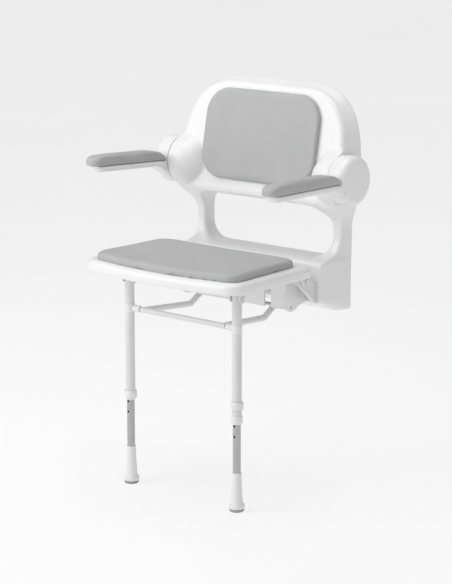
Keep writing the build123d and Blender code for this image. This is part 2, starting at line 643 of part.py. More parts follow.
COLLAR_R = 13.3
COLLAR_TOP_HEIGHT = 227.0
COLLAR_BOTTOM_HEIGHT = 207.0
COLLAR_LIP_R = 9.3
RING_R = 15.3
RING_HEIGHT = 18.0
RING_BORE_R = 13.6
RING_LIP_T = 2.0
RING_LIP_R = 11.35
RING_TOP = {"left": COLLAR_TOP_HEIGHT + RING_LIP_T + 0.3, "right": 259.3}
CLIP_R = 14.0
CLIP_HALF = 10.0
CLIP_BOSS_R = 8.5
CLIP_NEAR = 131.0
STUB_END = 145.0
FOOT_TOP_HEIGHT = 92.0
FOOT_BASE_R = 18.6
FOOT_PAD_HEIGHT = 7.0


for side, side_name in SIDES:
    leg_x = side * LEG_X
    with BuildPart() as leg_tube:
        add(turned(leg_x, [(TUBE_BORE_R, TUBE_BOTTOM_HEIGHT), (TUBE_R, TUBE_BOTTOM_HEIGHT),
                       (TUBE_R, TUBE_TOP_HEIGHT), (TUBE_BORE_R, TUBE_TOP_HEIGHT)]))
        add(rod(side, LEG_X - 20, LEG_X + 20, LEG_Y, LEG_PIN_HEIGHT, PIN_R), mode=Mode.SUBTRACT)
    keep(leg_tube, f"leg_tube_{side_name}")

    with BuildPart() as leg_plug:
        add(turned(leg_x, [(0, TUBE_TOP_HEIGHT - 6), (TUBE_BORE_R, TUBE_TOP_HEIGHT - 6),
                       (TUBE_BORE_R, TUBE_TOP_HEIGHT), (TUBE_R, TUBE_TOP_HEIGHT),
                       (TUBE_R - 1.5, TUBE_TOP_HEIGHT + 2), (0, TUBE_TOP_HEIGHT + 2)]))
    keep(leg_plug, f"leg_plug_{side_name}")

    with BuildPart() as leg_pin:
        add(rod(side, LEG_PLATES[0] - 1, LEG_PLATES[1] + 0.4, LEG_Y, LEG_PIN_HEIGHT, PIN_R))
        add(rod(side, LEG_PLATES[1] + 0.4, LEG_PLATES[1] + 2.4, LEG_Y, LEG_PIN_HEIGHT, 5.2))
    keep(leg_pin, f"leg_pin_{side_name}")

    with BuildPart() as leg_clip:
        add(turned(leg_x, [(TUBE_R, CLIP_HEIGHT - CLIP_HALF), (CLIP_R - 1, CLIP_HEIGHT - CLIP_HALF),
                       (CLIP_R, CLIP_HEIGHT - CLIP_HALF + 1), (CLIP_R, CLIP_HEIGHT + CLIP_HALF - 1),
                       (CLIP_R - 1, CLIP_HEIGHT + CLIP_HALF), (TUBE_R, CLIP_HEIGHT + CLIP_HALF)]))
        add(rod(side, CLIP_NEAR, LEG_X, CLIP_Y, CLIP_HEIGHT, CLIP_BOSS_R))
        with BuildSketch(Plane.XY.offset(level(CLIP_HEIGHT - CLIP_HALF))):
            with Locations((leg_x, LEG_Y)):
                Circle(TUBE_R)
        extrude(amount=2 * CLIP_HALF, mode=Mode.SUBTRACT)
        add(rod(side, CLIP_NEAR - 1, STUB_END + 1, CLIP_Y, CLIP_HEIGHT, PIN_R + OPEN_PIVOT_CLEARANCE),
            mode=Mode.SUBTRACT)
    keep(leg_clip, f"leg_clip_{side_name}")

    with BuildPart() as collar:
        add(turned(leg_x, [(COLLAR_LIP_R, COLLAR_BOTTOM_HEIGHT), (COLLAR_R - 1.5, COLLAR_BOTTOM_HEIGHT),
                       (COLLAR_R, COLLAR_BOTTOM_HEIGHT + 2), (COLLAR_R, COLLAR_TOP_HEIGHT - 2),
                       (COLLAR_R - 1, COLLAR_TOP_HEIGHT), (TUBE_R, COLLAR_TOP_HEIGHT),
                       (TUBE_R, TUBE_BOTTOM_HEIGHT), (COLLAR_LIP_R, TUBE_BOTTOM_HEIGHT)]))
    keep(collar, f"collar_{side_name}")

    ring_top = RING_TOP[side_name]
    with BuildPart() as lock_ring:
        add(turned(leg_x, [(RING_LIP_R, ring_top - RING_LIP_T), (RING_LIP_R, ring_top),
                       (RING_R - 1.5, ring_top), (RING_R, ring_top - 1.5),
                       (RING_R, ring_top - RING_HEIGHT + 1), (RING_R - 1, ring_top - RING_HEIGHT),
                       (RING_BORE_R, ring_top - RING_HEIGHT), (RING_BORE_R, ring_top - RING_LIP_T)]))
    keep(lock_ring, f"lock_ring_{side_name}")

    with BuildPart() as inner_leg:
        add(turned(leg_x, [(INNER_BORE_R, INNER_BOTTOM_HEIGHT), (INNER_R, INNER_BOTTOM_HEIGHT),
                       (INNER_R, INNER_TOP_HEIGHT), (INNER_BORE_R, INNER_TOP_HEIGHT)]))
        with BuildSketch(Plane.XZ.offset(-LEG_Y)):
            with Locations([(leg_x, level(LOWEST_HOLE_HEIGHT + HOLE_PITCH * k))
                            for k in range(HOLE_COUNT)]):
                Circle(HOLE_R)
        extrude(amount=INNER_R + 2, both=True, mode=Mode.SUBTRACT)
    keep(inner_leg, f"inner_leg_{side_name}")

    with BuildPart() as foot:
        with BuildSketch(Plane(origin=(leg_x, LEG_Y, 0), x_dir=(1, 0, 0), z_dir=(0, -1, 0))):
            with BuildLine():
                base = Polyline((0, level(FOOT_PAD_HEIGHT)), (FOOT_BASE_R - 1, level(FOOT_PAD_HEIGHT)),
                                (FOOT_BASE_R, level(FOOT_PAD_HEIGHT + 1.5)), (FOOT_BASE_R, level(15)),
                                (16.5, level(18.5)), (14.4, level(20.5)))
                flare = Spline(base @ 1, (12.3, level(50)), (11.0, level(FOOT_TOP_HEIGHT - 1)),
                               tangents=((-0.05, 1), (-0.02, 1)))
                Polyline(flare @ 1, (10.4, level(FOOT_TOP_HEIGHT)), (INNER_R, level(FOOT_TOP_HEIGHT)),
                         (INNER_R, level(INNER_BOTTOM_HEIGHT)), (0, level(INNER_BOTTOM_HEIGHT)),
                         base @ 0)
            make_face()
        revolve(axis=Axis((leg_x, LEG_Y, 0), (0, 0, 1)))
    keep(foot, f"foot_{side_name}")

    with BuildPart() as foot_pad:
        add(turned(leg_x, [(0, 0), (15, 0), (17, 2), (17, FOOT_PAD_HEIGHT), (0, FOOT_PAD_HEIGHT)]))
    keep(foot_pad, f"foot_pad_{side_name}")

# ---------------------------------------------------------------- link frame

EYE_BUSH_R = 6.0
BAR_EYE_R = 9.0
BAR_EYE_HALF = 6.0
with BuildPart() as link_crossbar:
    with BuildSketch(Plane.YZ.offset(-CROSSBAR_HALF)):
        with Locations((CLIP_Y, level(CLIP_HEIGHT))):
            Circle(CROSSBAR_R)
    extrude(amount=2 * CROSSBAR_HALF)
    with BuildSketch(Plane.YZ.offset(-STUB_END)):
        with Locations((CLIP_Y, level(CLIP_HEIGHT))):
            Circle(PIN_R)
    extrude(amount=2 * STUB_END)
keep(link_crossbar, "link_crossbar")

for side, side_name in SIDES:
    with BuildPart() as link_bar:
        knee = (side * BAR_KNEE[0], BAR_KNEE[1], level(BAR_KNEE[2]))
        with BuildLine() as route:
            FilletPolyline((side * BAR_END_X, CLIP_Y, level(CLIP_HEIGHT)), knee,
                           (side * BAR_EYE_X, LINK_Y, level(LINK_HEIGHT)), radius=BAR_BEND_R)
        with BuildSketch(Plane(origin=route.line @ 0, z_dir=route.line % 0)):
            Circle(BAR_R)
        sweep(path=route.line)
        add(rod(side, BAR_EYE_X - BAR_EYE_HALF, BAR_EYE_X + BAR_EYE_HALF, LINK_Y, LINK_HEIGHT, BAR_EYE_R))
        add(rod(side, BAR_EYE_X - 15, BAR_EYE_X + 15, LINK_Y, LINK_HEIGHT, EYE_BUSH_R), mode=Mode.SUBTRACT)
        # coped to sit on the crossbar
        add(rod(side, BAR_END_X - 15, CROSSBAR_HALF + 1, CLIP_Y, CLIP_HEIGHT, CROSSBAR_R),
            mode=Mode.SUBTRACT)
    keep(link_bar, f"link_bar_{side_name}")

    with BuildPart() as link_bush:
        add(rod(side, BAR_EYE_X - BAR_EYE_HALF, BAR_EYE_X + BAR_EYE_HALF, LINK_Y, LINK_HEIGHT, EYE_BUSH_R))
        add(rod(side, BAR_EYE_X - 15, BAR_EYE_X + 15, LINK_Y, LINK_HEIGHT, PIN_R + RUNNING_CLEARANCE),
            mode=Mode.SUBTRACT)
    keep(link_bush, f"link_bush_{side_name}")
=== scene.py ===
import json
from math import pi, radians

import bmesh
import bpy
import numpy as np
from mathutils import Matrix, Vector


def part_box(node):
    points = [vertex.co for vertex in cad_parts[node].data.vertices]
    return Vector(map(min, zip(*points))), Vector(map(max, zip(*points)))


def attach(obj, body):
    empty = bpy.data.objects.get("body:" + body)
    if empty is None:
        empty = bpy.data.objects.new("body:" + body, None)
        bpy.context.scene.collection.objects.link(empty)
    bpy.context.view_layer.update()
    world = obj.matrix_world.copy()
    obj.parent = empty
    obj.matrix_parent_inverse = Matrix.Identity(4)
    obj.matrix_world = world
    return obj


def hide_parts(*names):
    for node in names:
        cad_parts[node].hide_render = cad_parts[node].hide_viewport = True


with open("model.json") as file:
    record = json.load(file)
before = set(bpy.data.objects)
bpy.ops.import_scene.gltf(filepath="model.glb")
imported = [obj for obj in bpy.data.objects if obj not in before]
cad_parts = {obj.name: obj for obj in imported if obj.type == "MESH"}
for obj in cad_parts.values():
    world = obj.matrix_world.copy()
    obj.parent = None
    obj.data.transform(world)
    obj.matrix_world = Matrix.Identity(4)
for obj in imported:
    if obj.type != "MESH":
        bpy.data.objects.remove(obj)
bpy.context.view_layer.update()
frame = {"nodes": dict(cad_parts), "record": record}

# Lengths are in metres. Every HEIGHT is above the floor, which the rubber foot pads stand on.
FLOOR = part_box("foot_pad_left")[0].z
SIDES = ((-1, "left"), (1, "right"))


def up(height):
    """Z in the frame of a height above the floor."""
    return FLOOR + height


# ------------------------------------------------------------------ camera, light and floor

CAMERA_PLACE = (2.938, -3.690, up(1.4903))
CAMERA_TURN = 0.69903
CAMERA_TILT = 0.22166
CAMERA_LENS = 123.2
CAMERA_SHIFT = (0.0033, 0.0015)
CAMERA_REACH = (0.05, 200.0)


def camera():
    """A long lens from the front right, a little above the seat."""
    data = bpy.data.cameras.new("camera")
    data.lens = CAMERA_LENS
    data.sensor_width = 36.0
    data.shift_x, data.shift_y = CAMERA_SHIFT
    data.clip_start, data.clip_end = CAMERA_REACH
    view = bpy.data.objects.new("camera", data)
    view.location = CAMERA_PLACE
    view.rotation_euler = (pi / 2 - CAMERA_TILT, 0.0, CAMERA_TURN)
    bpy.context.scene.collection.objects.link(view)
    bpy.context.scene.camera = view


def lamp(name, place, size, power):
    """A square soft box at place that faces the middle of the chair."""
    data = bpy.data.lights.new(name, "AREA")
    data.shape = "SQUARE"
    data.size = size
    data.energy = power
    light = bpy.data.objects.new(name, data)
    light.location = place
    direction = np.array(place) - np.array(CHAIR_MIDDLE)
    flat = np.hypot(direction[0], direction[1])
    light.rotation_euler = (np.arctan2(flat, direction[2]), 0.0,
                            np.arctan2(direction[0], -direction[1]))
    bpy.context.scene.collection.objects.link(light)


CHAIR_MIDDLE = (0.0, -0.2, up(0.6))
KEY_PLACE = (-1.4, -2.7, up(1.9))
TOP_PLACE = (0.0, -0.35, up(3.2))
FILL_PLACE = (2.6, -1.8, up(1.9))
KEY_SIZE = 2.8
TOP_SIZE = 2.2
FILL_SIZE = 2.0
WHITE = (1.0, 1.0, 1.0, 1.0)
WORLD_STRENGTH = 0.50
BACKDROP_STRENGTH = 0.86
KEY_POWER = 54.0
TOP_POWER = 27.0
FILL_POWER = 2.0
FLOOR_SIZE = 160.0
FLOOR_GLOW = 0.72


def studio():
    """White surroundings, seen as bright as the floor, with a large key light from the front left,
    a top light and a weak fill."""
    world = bpy.data.worlds.new("studio_white")
    world.use_nodes = True
    tree = world.node_tree
    light = tree.nodes["Background"]
    seen = add(tree, "ShaderNodeBackground")
    for surround, strength in ((light, WORLD_STRENGTH), (seen, BACKDROP_STRENGTH)):
        surround.inputs["Color"].default_value = WHITE
        surround.inputs["Strength"].default_value = strength
    choose = add(tree, "ShaderNodeMixShader")
    tree.links.new(add(tree, "ShaderNodeLightPath").outputs["Is Camera Ray"], choose.inputs["Fac"])
    tree.links.new(light.outputs["Background"], choose.inputs[1])
    tree.links.new(seen.outputs["Background"], choose.inputs[2])
    tree.links.new(choose.outputs["Shader"], tree.nodes["World Output"].inputs["Surface"])
    bpy.context.scene.world = world
    bpy.context.scene.view_settings.view_transform = "Standard"
    lamp("key_light", KEY_PLACE, KEY_SIZE, KEY_POWER)
    lamp("top_light", TOP_PLACE, TOP_SIZE, TOP_POWER)
    lamp("fill_light", FILL_PLACE, FILL_SIZE, FILL_POWER)


def studio_floor(paint):
    """A flat square sheet at floor height, centred under the chair."""
    half = FLOOR_SIZE / 2
    data = bpy.data.meshes.new("studio_floor")
    turns = ((-half, -half), (half, -half), (half, half), (-half, half))
    corners = [(x, y, FLOOR) for x, y in turns]
    data.from_pydata(corners, [], [(0, 1, 2, 3)])
    sheet = bpy.data.objects.new("studio_floor", data)
    sheet.data.materials.append(paint)
    bpy.context.scene.collection.objects.link(sheet)


# ------------------------------------------------------------------ finishes

def node_group(name, inputs, outputs):
    """An empty shader node group: inputs as (name, value), outputs as names, all plain numbers."""
    group = bpy.data.node_groups.new(name, "ShaderNodeTree")
    for label, value in inputs:
        socket = group.interface.new_socket(name=label, in_out="INPUT",
                                            socket_type="NodeSocketFloat")
        socket.default_value = value
    for label in outputs:
        group.interface.new_socket(name=label, in_out="OUTPUT", socket_type="NodeSocketFloat")
    start = group.nodes.new("NodeGroupInput")
    end = group.nodes.new("NodeGroupOutput")
    return group, start, end


def add(tree, kind, **settings):
    """A node with its settings."""
    node = tree.nodes.new(kind)
    for key, value in settings.items():
        setattr(node, key, value)
    return node


def maths(tree, operation, first, second):
    """A Math node fed by sockets or numbers."""
    node = add(tree, "ShaderNodeMath", operation=operation)
    for slot, value in zip(node.inputs, (first, second)):
        if isinstance(value, (int, float)):
            slot.default_value = value
        else:
            tree.links.new(value, slot)
    return node.outputs[0]


def make_fine_grain():
    """Fine grain: noise at the given size, as a height, for orange peel, powder coat and rubber."""
    group, start, end = node_group(
        "fine_grain", [("Size", 0.001), ("Softness", 2.0)], ["Height"])
    place = add(group, "ShaderNodeTexCoord")
    scale = maths(group, "DIVIDE", 1.0, start.outputs["Size"])
    noise = add(group, "ShaderNodeTexNoise")
    group.links.new(place.outputs["Object"], noise.inputs["Vector"])
    group.links.new(scale, noise.inputs["Scale"])
    group.links.new(start.outputs["Softness"], noise.inputs["Detail"])
    group.links.new(noise.outputs["Fac"], end.inputs["Height"])
    return group


def make_handled():
    """Handling marks: slow patches, 0 to 1, that shift colour and roughness over a hand's width."""
    group, start, end = node_group(
        "handled", [("Patch", 0.08)], ["Mask"])
    place = add(group, "ShaderNodeTexCoord")
    slow = add(group, "ShaderNodeTexNoise")
    slow.inputs["Detail"].default_value = 4.0
    slow.inputs["Roughness"].default_value = 0.55
    scale = maths(group, "DIVIDE", 1.0, start.outputs["Patch"])
    group.links.new(place.outputs["Object"], slow.inputs["Vector"])
    group.links.new(scale, slow.inputs["Scale"])
    spread = add(group, "ShaderNodeMapRange")
    spread.inputs["From Min"].default_value = 0.3
    spread.inputs["From Max"].default_value = 0.7
    group.links.new(slow.outputs["Fac"], spread.inputs["Value"])
    group.links.new(spread.outputs["Result"], end.inputs["Mask"])
    return group


def make_skin_grain():
    """Self-skinned foam, as a height: shallow pebbles from the edges of cells, whose places are
    shifted by a finer noise."""
    group, start, end = node_group(
        "skin_grain", [("Size", 0.0016)], ["Height"])
    place = add(group, "ShaderNodeTexCoord")
    scale = maths(group, "DIVIDE", 1.0, start.outputs["Size"])
    warp = add(group, "ShaderNodeTexNoise")
    warp.inputs["Scale"].default_value = 300.0
    shifted = add(group, "ShaderNodeVectorMath", operation="MULTIPLY_ADD")
    group.links.new(warp.outputs["Color"], shifted.inputs[0])
    shifted.inputs[1].default_value = (0.0008, 0.0008, 0.0008)
    group.links.new(place.outputs["Object"], warp.inputs["Vector"])
    group.links.new(place.outputs["Object"], shifted.inputs[2])
    cells = add(group, "ShaderNodeTexVoronoi", feature="DISTANCE_TO_EDGE")
    group.links.new(shifted.outputs[0], cells.inputs["Vector"])
    group.links.new(scale, cells.inputs["Scale"])
    rise = add(group, "ShaderNodeMapRange", interpolation_type="SMOOTHSTEP")
    rise.inputs["From Max"].default_value = 0.22
    group.links.new(cells.outputs["Distance"], rise.inputs["Value"])
    group.links.new(rise.outputs["Result"], end.inputs["Height"])
    return group


def make_drawn_lines():
    """Lines drawn along Z on tube or bar: noise stretched along its length, 0 to 1."""
    group, start, end = node_group(
        "drawn_lines", [("Width", 0.0008), ("Stretch", 0.02)], ["Mask"])
    place = add(group, "ShaderNodeTexCoord")
    squeeze = add(group, "ShaderNodeCombineXYZ")
    for along, size in (("X", "Width"), ("Y", "Width"), ("Z", "Stretch")):
        group.links.new(maths(group, "DIVIDE", 1.0, start.outputs[size]), squeeze.inputs[along])
    stretched = add(group, "ShaderNodeVectorMath", operation="MULTIPLY")
    group.links.new(place.outputs["Object"], stretched.inputs[0])
    group.links.new(squeeze.outputs["Vector"], stretched.inputs[1])
    noise = add(group, "ShaderNodeTexNoise")
    noise.inputs["Scale"].default_value = 1.0
    noise.inputs["Detail"].default_value = 3.0
    group.links.new(stretched.outputs[0], noise.inputs["Vector"])
    group.links.new(noise.outputs["Fac"], end.inputs["Mask"])
    return group


GROUPS = {
    "fine_grain": make_fine_grain(),
    "handled": make_handled(),
    "skin_grain": make_skin_grain(),
    "drawn_lines": make_drawn_lines(),
}


def use_group(tree, name, **values):
    """One of the shared effects, placed in a material with its own values."""
    node = add(tree, "ShaderNodeGroup", node_tree=GROUPS[name])
    for label, value in values.items():
        node.inputs[label].default_value = value
    return node


def ranged(tree, value, low, high):
    """A 0 to 1 value spread over low to high."""
    spread = add(tree, "ShaderNodeMapRange")
    spread.inputs["To Min"].default_value = low
    spread.inputs["To Max"].default_value = high
    tree.links.new(value, spread.inputs["Value"])
    return spread.outputs["Result"]


def mixed(tree, value, first, second):
    """A colour between two greys or tints, by a 0 to 1 value."""
    mix = add(tree, "ShaderNodeMix", data_type="RGBA")
    colours = [s for s in mix.inputs if s.type == "RGBA"]
    colours[0].default_value = (*first, 1.0)
    colours[1].default_value = (*second, 1.0)
    tree.links.new(value, mix.inputs["Factor"])
    return [s for s in mix.outputs if s.type == "RGBA"][0]


def finish(name, colours, rough, grain, bump, patch=0.08, metallic=0.0, coat=0.0,
           coat_rough=0.2, sheen=0.0, specular=0.5):
    """A material: colour and roughness drift with handling, and a grain group gives the bump.
    grain is (group, values, output), and bump is (strength, height in metres)."""
    made = bpy.data.materials.new(name)
    made.use_nodes = True
    tree = made.node_tree
    shader = tree.nodes["Principled BSDF"]
    marks = use_group(tree, "handled", Patch=patch)
    tree.links.new(mixed(tree, marks.outputs["Mask"], *colours), shader.inputs["Base Color"])
    tree.links.new(ranged(tree, marks.outputs["Mask"], *rough), shader.inputs["Roughness"])
    group, values, output = grain
    texture = use_group(tree, group, **values)
    relief = add(tree, "ShaderNodeBump")
    relief.inputs["Strength"].default_value = bump[0]
    relief.inputs["Distance"].default_value = bump[1]
    tree.links.new(texture.outputs[output], relief.inputs["Height"])
    tree.links.new(relief.outputs["Normal"], shader.inputs["Normal"])
    shader.inputs["Metallic"].default_value = metallic
    shader.inputs["Coat Weight"].default_value = coat
    shader.inputs["Coat Roughness"].default_value = coat_rough
    shader.inputs["Sheen Weight"].default_value = sheen
    shader.inputs["Specular IOR Level"].default_value = specular
    return made


def grey(value):
    """A neutral colour."""
    return (value, value, value)


def floor_paint():
    """Plain pale floor with a very faint unevenness, lit from below like a light table."""
    made = finish("pale_floor", (grey(0.24), grey(0.26)), (0.75, 0.85),
                  ("fine_grain", {"Size": 0.01}, "Height"), (0.05, 0.0002), patch=1.2)
    shader = made.node_tree.nodes["Principled BSDF"]
    shader.inputs["Emission Color"].default_value = WHITE
    shader.inputs["Emission Strength"].default_value = FLOOR_GLOW
    shader.inputs["Specular IOR Level"].default_value = 0.0
    return made


FINISHES = {
    "white_moulding": finish("white_moulding", (grey(0.785), grey(0.810)), (0.26, 0.36),
                             ("fine_grain", {"Size": 0.0022}, "Height"), (0.10, 0.00015),
                             coat=0.18, coat_rough=0.2),
    "grey_pad": finish("grey_pad", ((0.395, 0.395, 0.398), (0.435, 0.435, 0.438)), (0.46, 0.58),
                       ("skin_grain", {"Size": 0.0017}, "Height"), (0.28, 0.00022),
                       patch=0.10, sheen=0.08),
    "white_tube": finish("white_tube", (grey(0.68), grey(0.72)), (0.30, 0.42),
                         ("fine_grain", {"Size": 0.0011}, "Height"), (0.16, 0.00012),
                         patch=0.05, coat=0.15),
    "grey_tube": finish("grey_tube", (grey(0.43), grey(0.50)), (0.30, 0.44),
                        ("drawn_lines", {"Width": 0.0006}, "Mask"), (0.12, 0.00006),
                        patch=0.04, metallic=0.85),
    "steel": finish("steel", (grey(0.46), grey(0.56)), (0.26, 0.40),
                    ("drawn_lines", {"Width": 0.0005, "Stretch": 0.006}, "Mask"), (0.15, 0.00006),
                    patch=0.03, metallic=1.0),
    "white_nylon": finish("white_nylon", (grey(0.77), grey(0.80)), (0.38, 0.50),
                          ("fine_grain", {"Size": 0.0014}, "Height"), (0.14, 0.00012), patch=0.04),
    "grey_rubber": finish("grey_rubber", (grey(0.30), grey(0.36)), (0.66, 0.80),
                          ("fine_grain", {"Size": 0.0009}, "Height"), (0.30, 0.00015), patch=0.03),
}


# ------------------------------------------------------------------ mesh making

def piece_of(name, verts, faces, slot, body, stands_for=(), merge=1e-6):
    """An object from vertex and face arrays, with doubles merged and faces turned outwards."""
    data = bpy.data.meshes.new(name)
    data.from_pydata(verts.reshape(-1, 3).tolist(), [], faces.tolist())
    data.update()
    work = bmesh.new()
    work.from_mesh(data)
    bmesh.ops.remove_doubles(work, verts=work.verts, dist=merge)
    bmesh.ops.recalc_face_normals(work, faces=work.faces)
    work.to_mesh(data)
    work.free()
    data.polygons.foreach_set("use_smooth", np.ones(len(data.polygons), bool))
    made = bpy.data.objects.new(name, data)
    bpy.context.scene.collection.objects.link(made)
    made.data.materials.append(FINISHES[slot])
    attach(made, body)
    if stands_for:
        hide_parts(*stands_for)
    return made


def grid_faces(rows, columns, close_rows=False, close_columns=True, start=0):
    """Quads over a grid of rows by columns of points, numbered row by row."""
    r = np.arange(rows if close_rows else rows - 1)
    c = np.arange(columns if close_columns else columns - 1)
    r, c = np.meshgrid(r, c, indexing="ij")
    r2, c2 = (r + 1) % rows, (c + 1) % columns
    quads = np.stack([r * columns + c, r * columns + c2, r2 * columns + c2, r2 * columns + c], -1)
    return quads.reshape(-1, 4) + start


def smooth_line(points, count):
    """Catmull-Rom curve through the points, then count samples at even steps of its length."""
    p = np.array(points, float)
    p = np.vstack([2 * p[0] - p[1], p, 2 * p[-1] - p[-2]])
    segment = np.repeat(np.arange(len(p) - 3), 40)
    t = np.tile(np.linspace(0, 1, 40, endpoint=False), len(p) - 3)[:, None]
    a, b, c, d = p[segment], p[segment + 1], p[segment + 2], p[segment + 3]
    line = 0.5 * (2 * b + (c - a) * t + (2 * a - 5 * b + 4 * c - d) * t ** 2
                  + (3 * b - a - 3 * c + d) * t ** 3)
    line = np.vstack([line, p[-2]])
    run = np.concatenate([[0], np.cumsum(np.linalg.norm(np.diff(line, axis=0), axis=1))])
    even = np.linspace(0, run[-1], count)
    return np.stack([np.interp(even, run, line[:, k]) for k in range(line.shape[1])], -1)


def step(x, low, high):
    """Smooth step from 0 at low to 1 at high."""
    t = np.clip((x - low) / (high - low), 0, 1)
    return t * t * (3 - 2 * t)


def soft_least(a, b, width):
    """The lesser of two heights, blended over width where they meet."""
    h = np.clip(width - np.abs(a - b), 0, None) / width
    return np.minimum(a, b) - h * h * width / 4


# ------------------------------------------------------------------ back moulding

# Side profile of the front face, from the foot up: Y and height
FRONT_PROFILE = [
    (-0.0985, 0.446), (-0.100, 0.480), (-0.100, 0.520), (-0.0985, 0.5385),
    (-0.091, 0.5443), (-0.075, 0.5455), (-0.059, 0.549), (-0.045, 0.561),
    (-0.038, 0.580), (-0.036, 0.602), (-0.0375, 0.622), (-0.047, 0.641),
    (-0.066, 0.657), (-0.0825, 0.674), (-0.0835, 0.692), (-0.079, 0.707),
    (-0.0585, 0.814), (-0.038, 0.921), (-0.0345, 0.940)]
# Half outline at the wall and at the front edge, from the bottom middle round to the top middle
WALL_OUTLINE = [
    (0.0, 0.421), (0.120, 0.421), (0.200, 0.421), (0.222, 0.4215),
    (0.226, 0.427), (0.226, 0.470), (0.226, 0.580), (0.2265, 0.625),
    (0.234, 0.655), (0.2465, 0.690), (0.2500, 0.720), (0.2500, 0.785),
    (0.2465, 0.826), (0.2405, 0.857), (0.2280, 0.887), (0.2045, 0.9165),
    (0.1720, 0.936), (0.1310, 0.9455), (0.090, 0.947), (0.0, 0.947)]
FRONT_OUTLINE = [
    (0.0, 0.446), (0.120, 0.446), (0.194, 0.446), (0.208, 0.447),
    (0.2125, 0.453), (0.2115, 0.480), (0.211, 0.530), (0.2155, 0.556),
    (0.2205, 0.585), (0.2215, 0.620), (0.2285, 0.652), (0.2380, 0.674),
    (0.2412, 0.690), (0.2412, 0.790), (0.2385, 0.822), (0.2330, 0.850),
    (0.2200, 0.879), (0.1975, 0.907), (0.1670, 0.9265), (0.1290, 0.9365),
    (0.090, 0.938), (0.0, 0.938)]
OPENING_HALF = 0.193
OPENING_LOW = 0.5455
OPENING_HIGH = 0.670
OPENING_ROUND = 0.044
INNER_EDGE = 0.009
OUTER_EDGE = 0.013
COLUMN_EDGE = 0.007
COLUMN_END = (0.610, 0.675)
HUB_EDGE = 0.0025
SHELL_WALL = 0.0045
BOSS_R = 0.0568
BOSS_FACE = 0.2413
BOSS_REACH = 0.062
BOSS_BLEND = 0.034
BOSS_INSET = 0.012
BOSS_SLOPE = 3
HUB_EDGE_FADE = (BOSS_R - 0.004, BOSS_R + 0.022)
HUB_SEAT_FADE = (0.0605, 0.0675)
HUB_SEAT_RISE = 0.02
COLUMNS = 120
PROFILE_SAMPLES = 900
OUTLINE_SAMPLES = 1600
CORNER_SAMPLES = 24
STRAIGHT_SAMPLES = 30
SIDE_ROWS = 10
UNDERSIDE_TOP = 0.4475
FOOT_CORNER = (0.18, 0.46)
UNDERSIDE_START = 0.36
UNDERSIDE_CURVE = 1.3

hub_low, hub_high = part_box("hub_cap_right")
HUB_Y = (hub_low.y + hub_high.y) / 2
HUB_Z = (hub_low.z + hub_high.z) / 2
HUB_R = (hub_high.z - hub_low.z) / 2
HUB_FACE = hub_high.x
ARM_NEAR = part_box("arm_right")[0].x


def opening_half_loop():
    """Half of the opening: a rectangle with quarter-circle corners, as X and height, from its
    bottom middle to its top middle."""
    r = OPENING_ROUND
    turn = np.linspace(0, pi / 2, CORNER_SAMPLES)
    straight = OPENING_HALF - r
    low = np.stack([straight + r * np.sin(turn), OPENING_LOW + r - r * np.cos(turn)], -1)
    high = np.stack([straight + r * np.cos(turn), OPENING_HIGH - r + r * np.sin(turn)], -1)
    run = np.linspace(0, straight, STRAIGHT_SAMPLES)
    flat_low = np.stack([run, np.full(STRAIGHT_SAMPLES, OPENING_LOW)], -1)
    flat_high = np.stack([run[::-1], np.full(STRAIGHT_SAMPLES, OPENING_HIGH)], -1)
    return np.vstack([flat_low, low[1:], high, flat_high[1:]])


def boss_depth(x, height):
    """Y of the boss round the arm pivot: a circle about the pivot, whose radius shrinks towards
    the middle of the back as a quarter ellipse. Outside it a steep slope leads back to the wall."""
    inward = np.clip((BOSS_FACE - BOSS_INSET - x) / BOSS_REACH, 0, 1)
    radius = BOSS_R * np.sqrt(1 - inward ** 2)
    off = np.abs(up(height) - HUB_Z)
    inside = HUB_Y - np.sqrt(np.clip(radius ** 2 - off ** 2, 0, None))
    return np.where(off < radius, inside, HUB_Y + (off - radius) * BOSS_SLOPE)


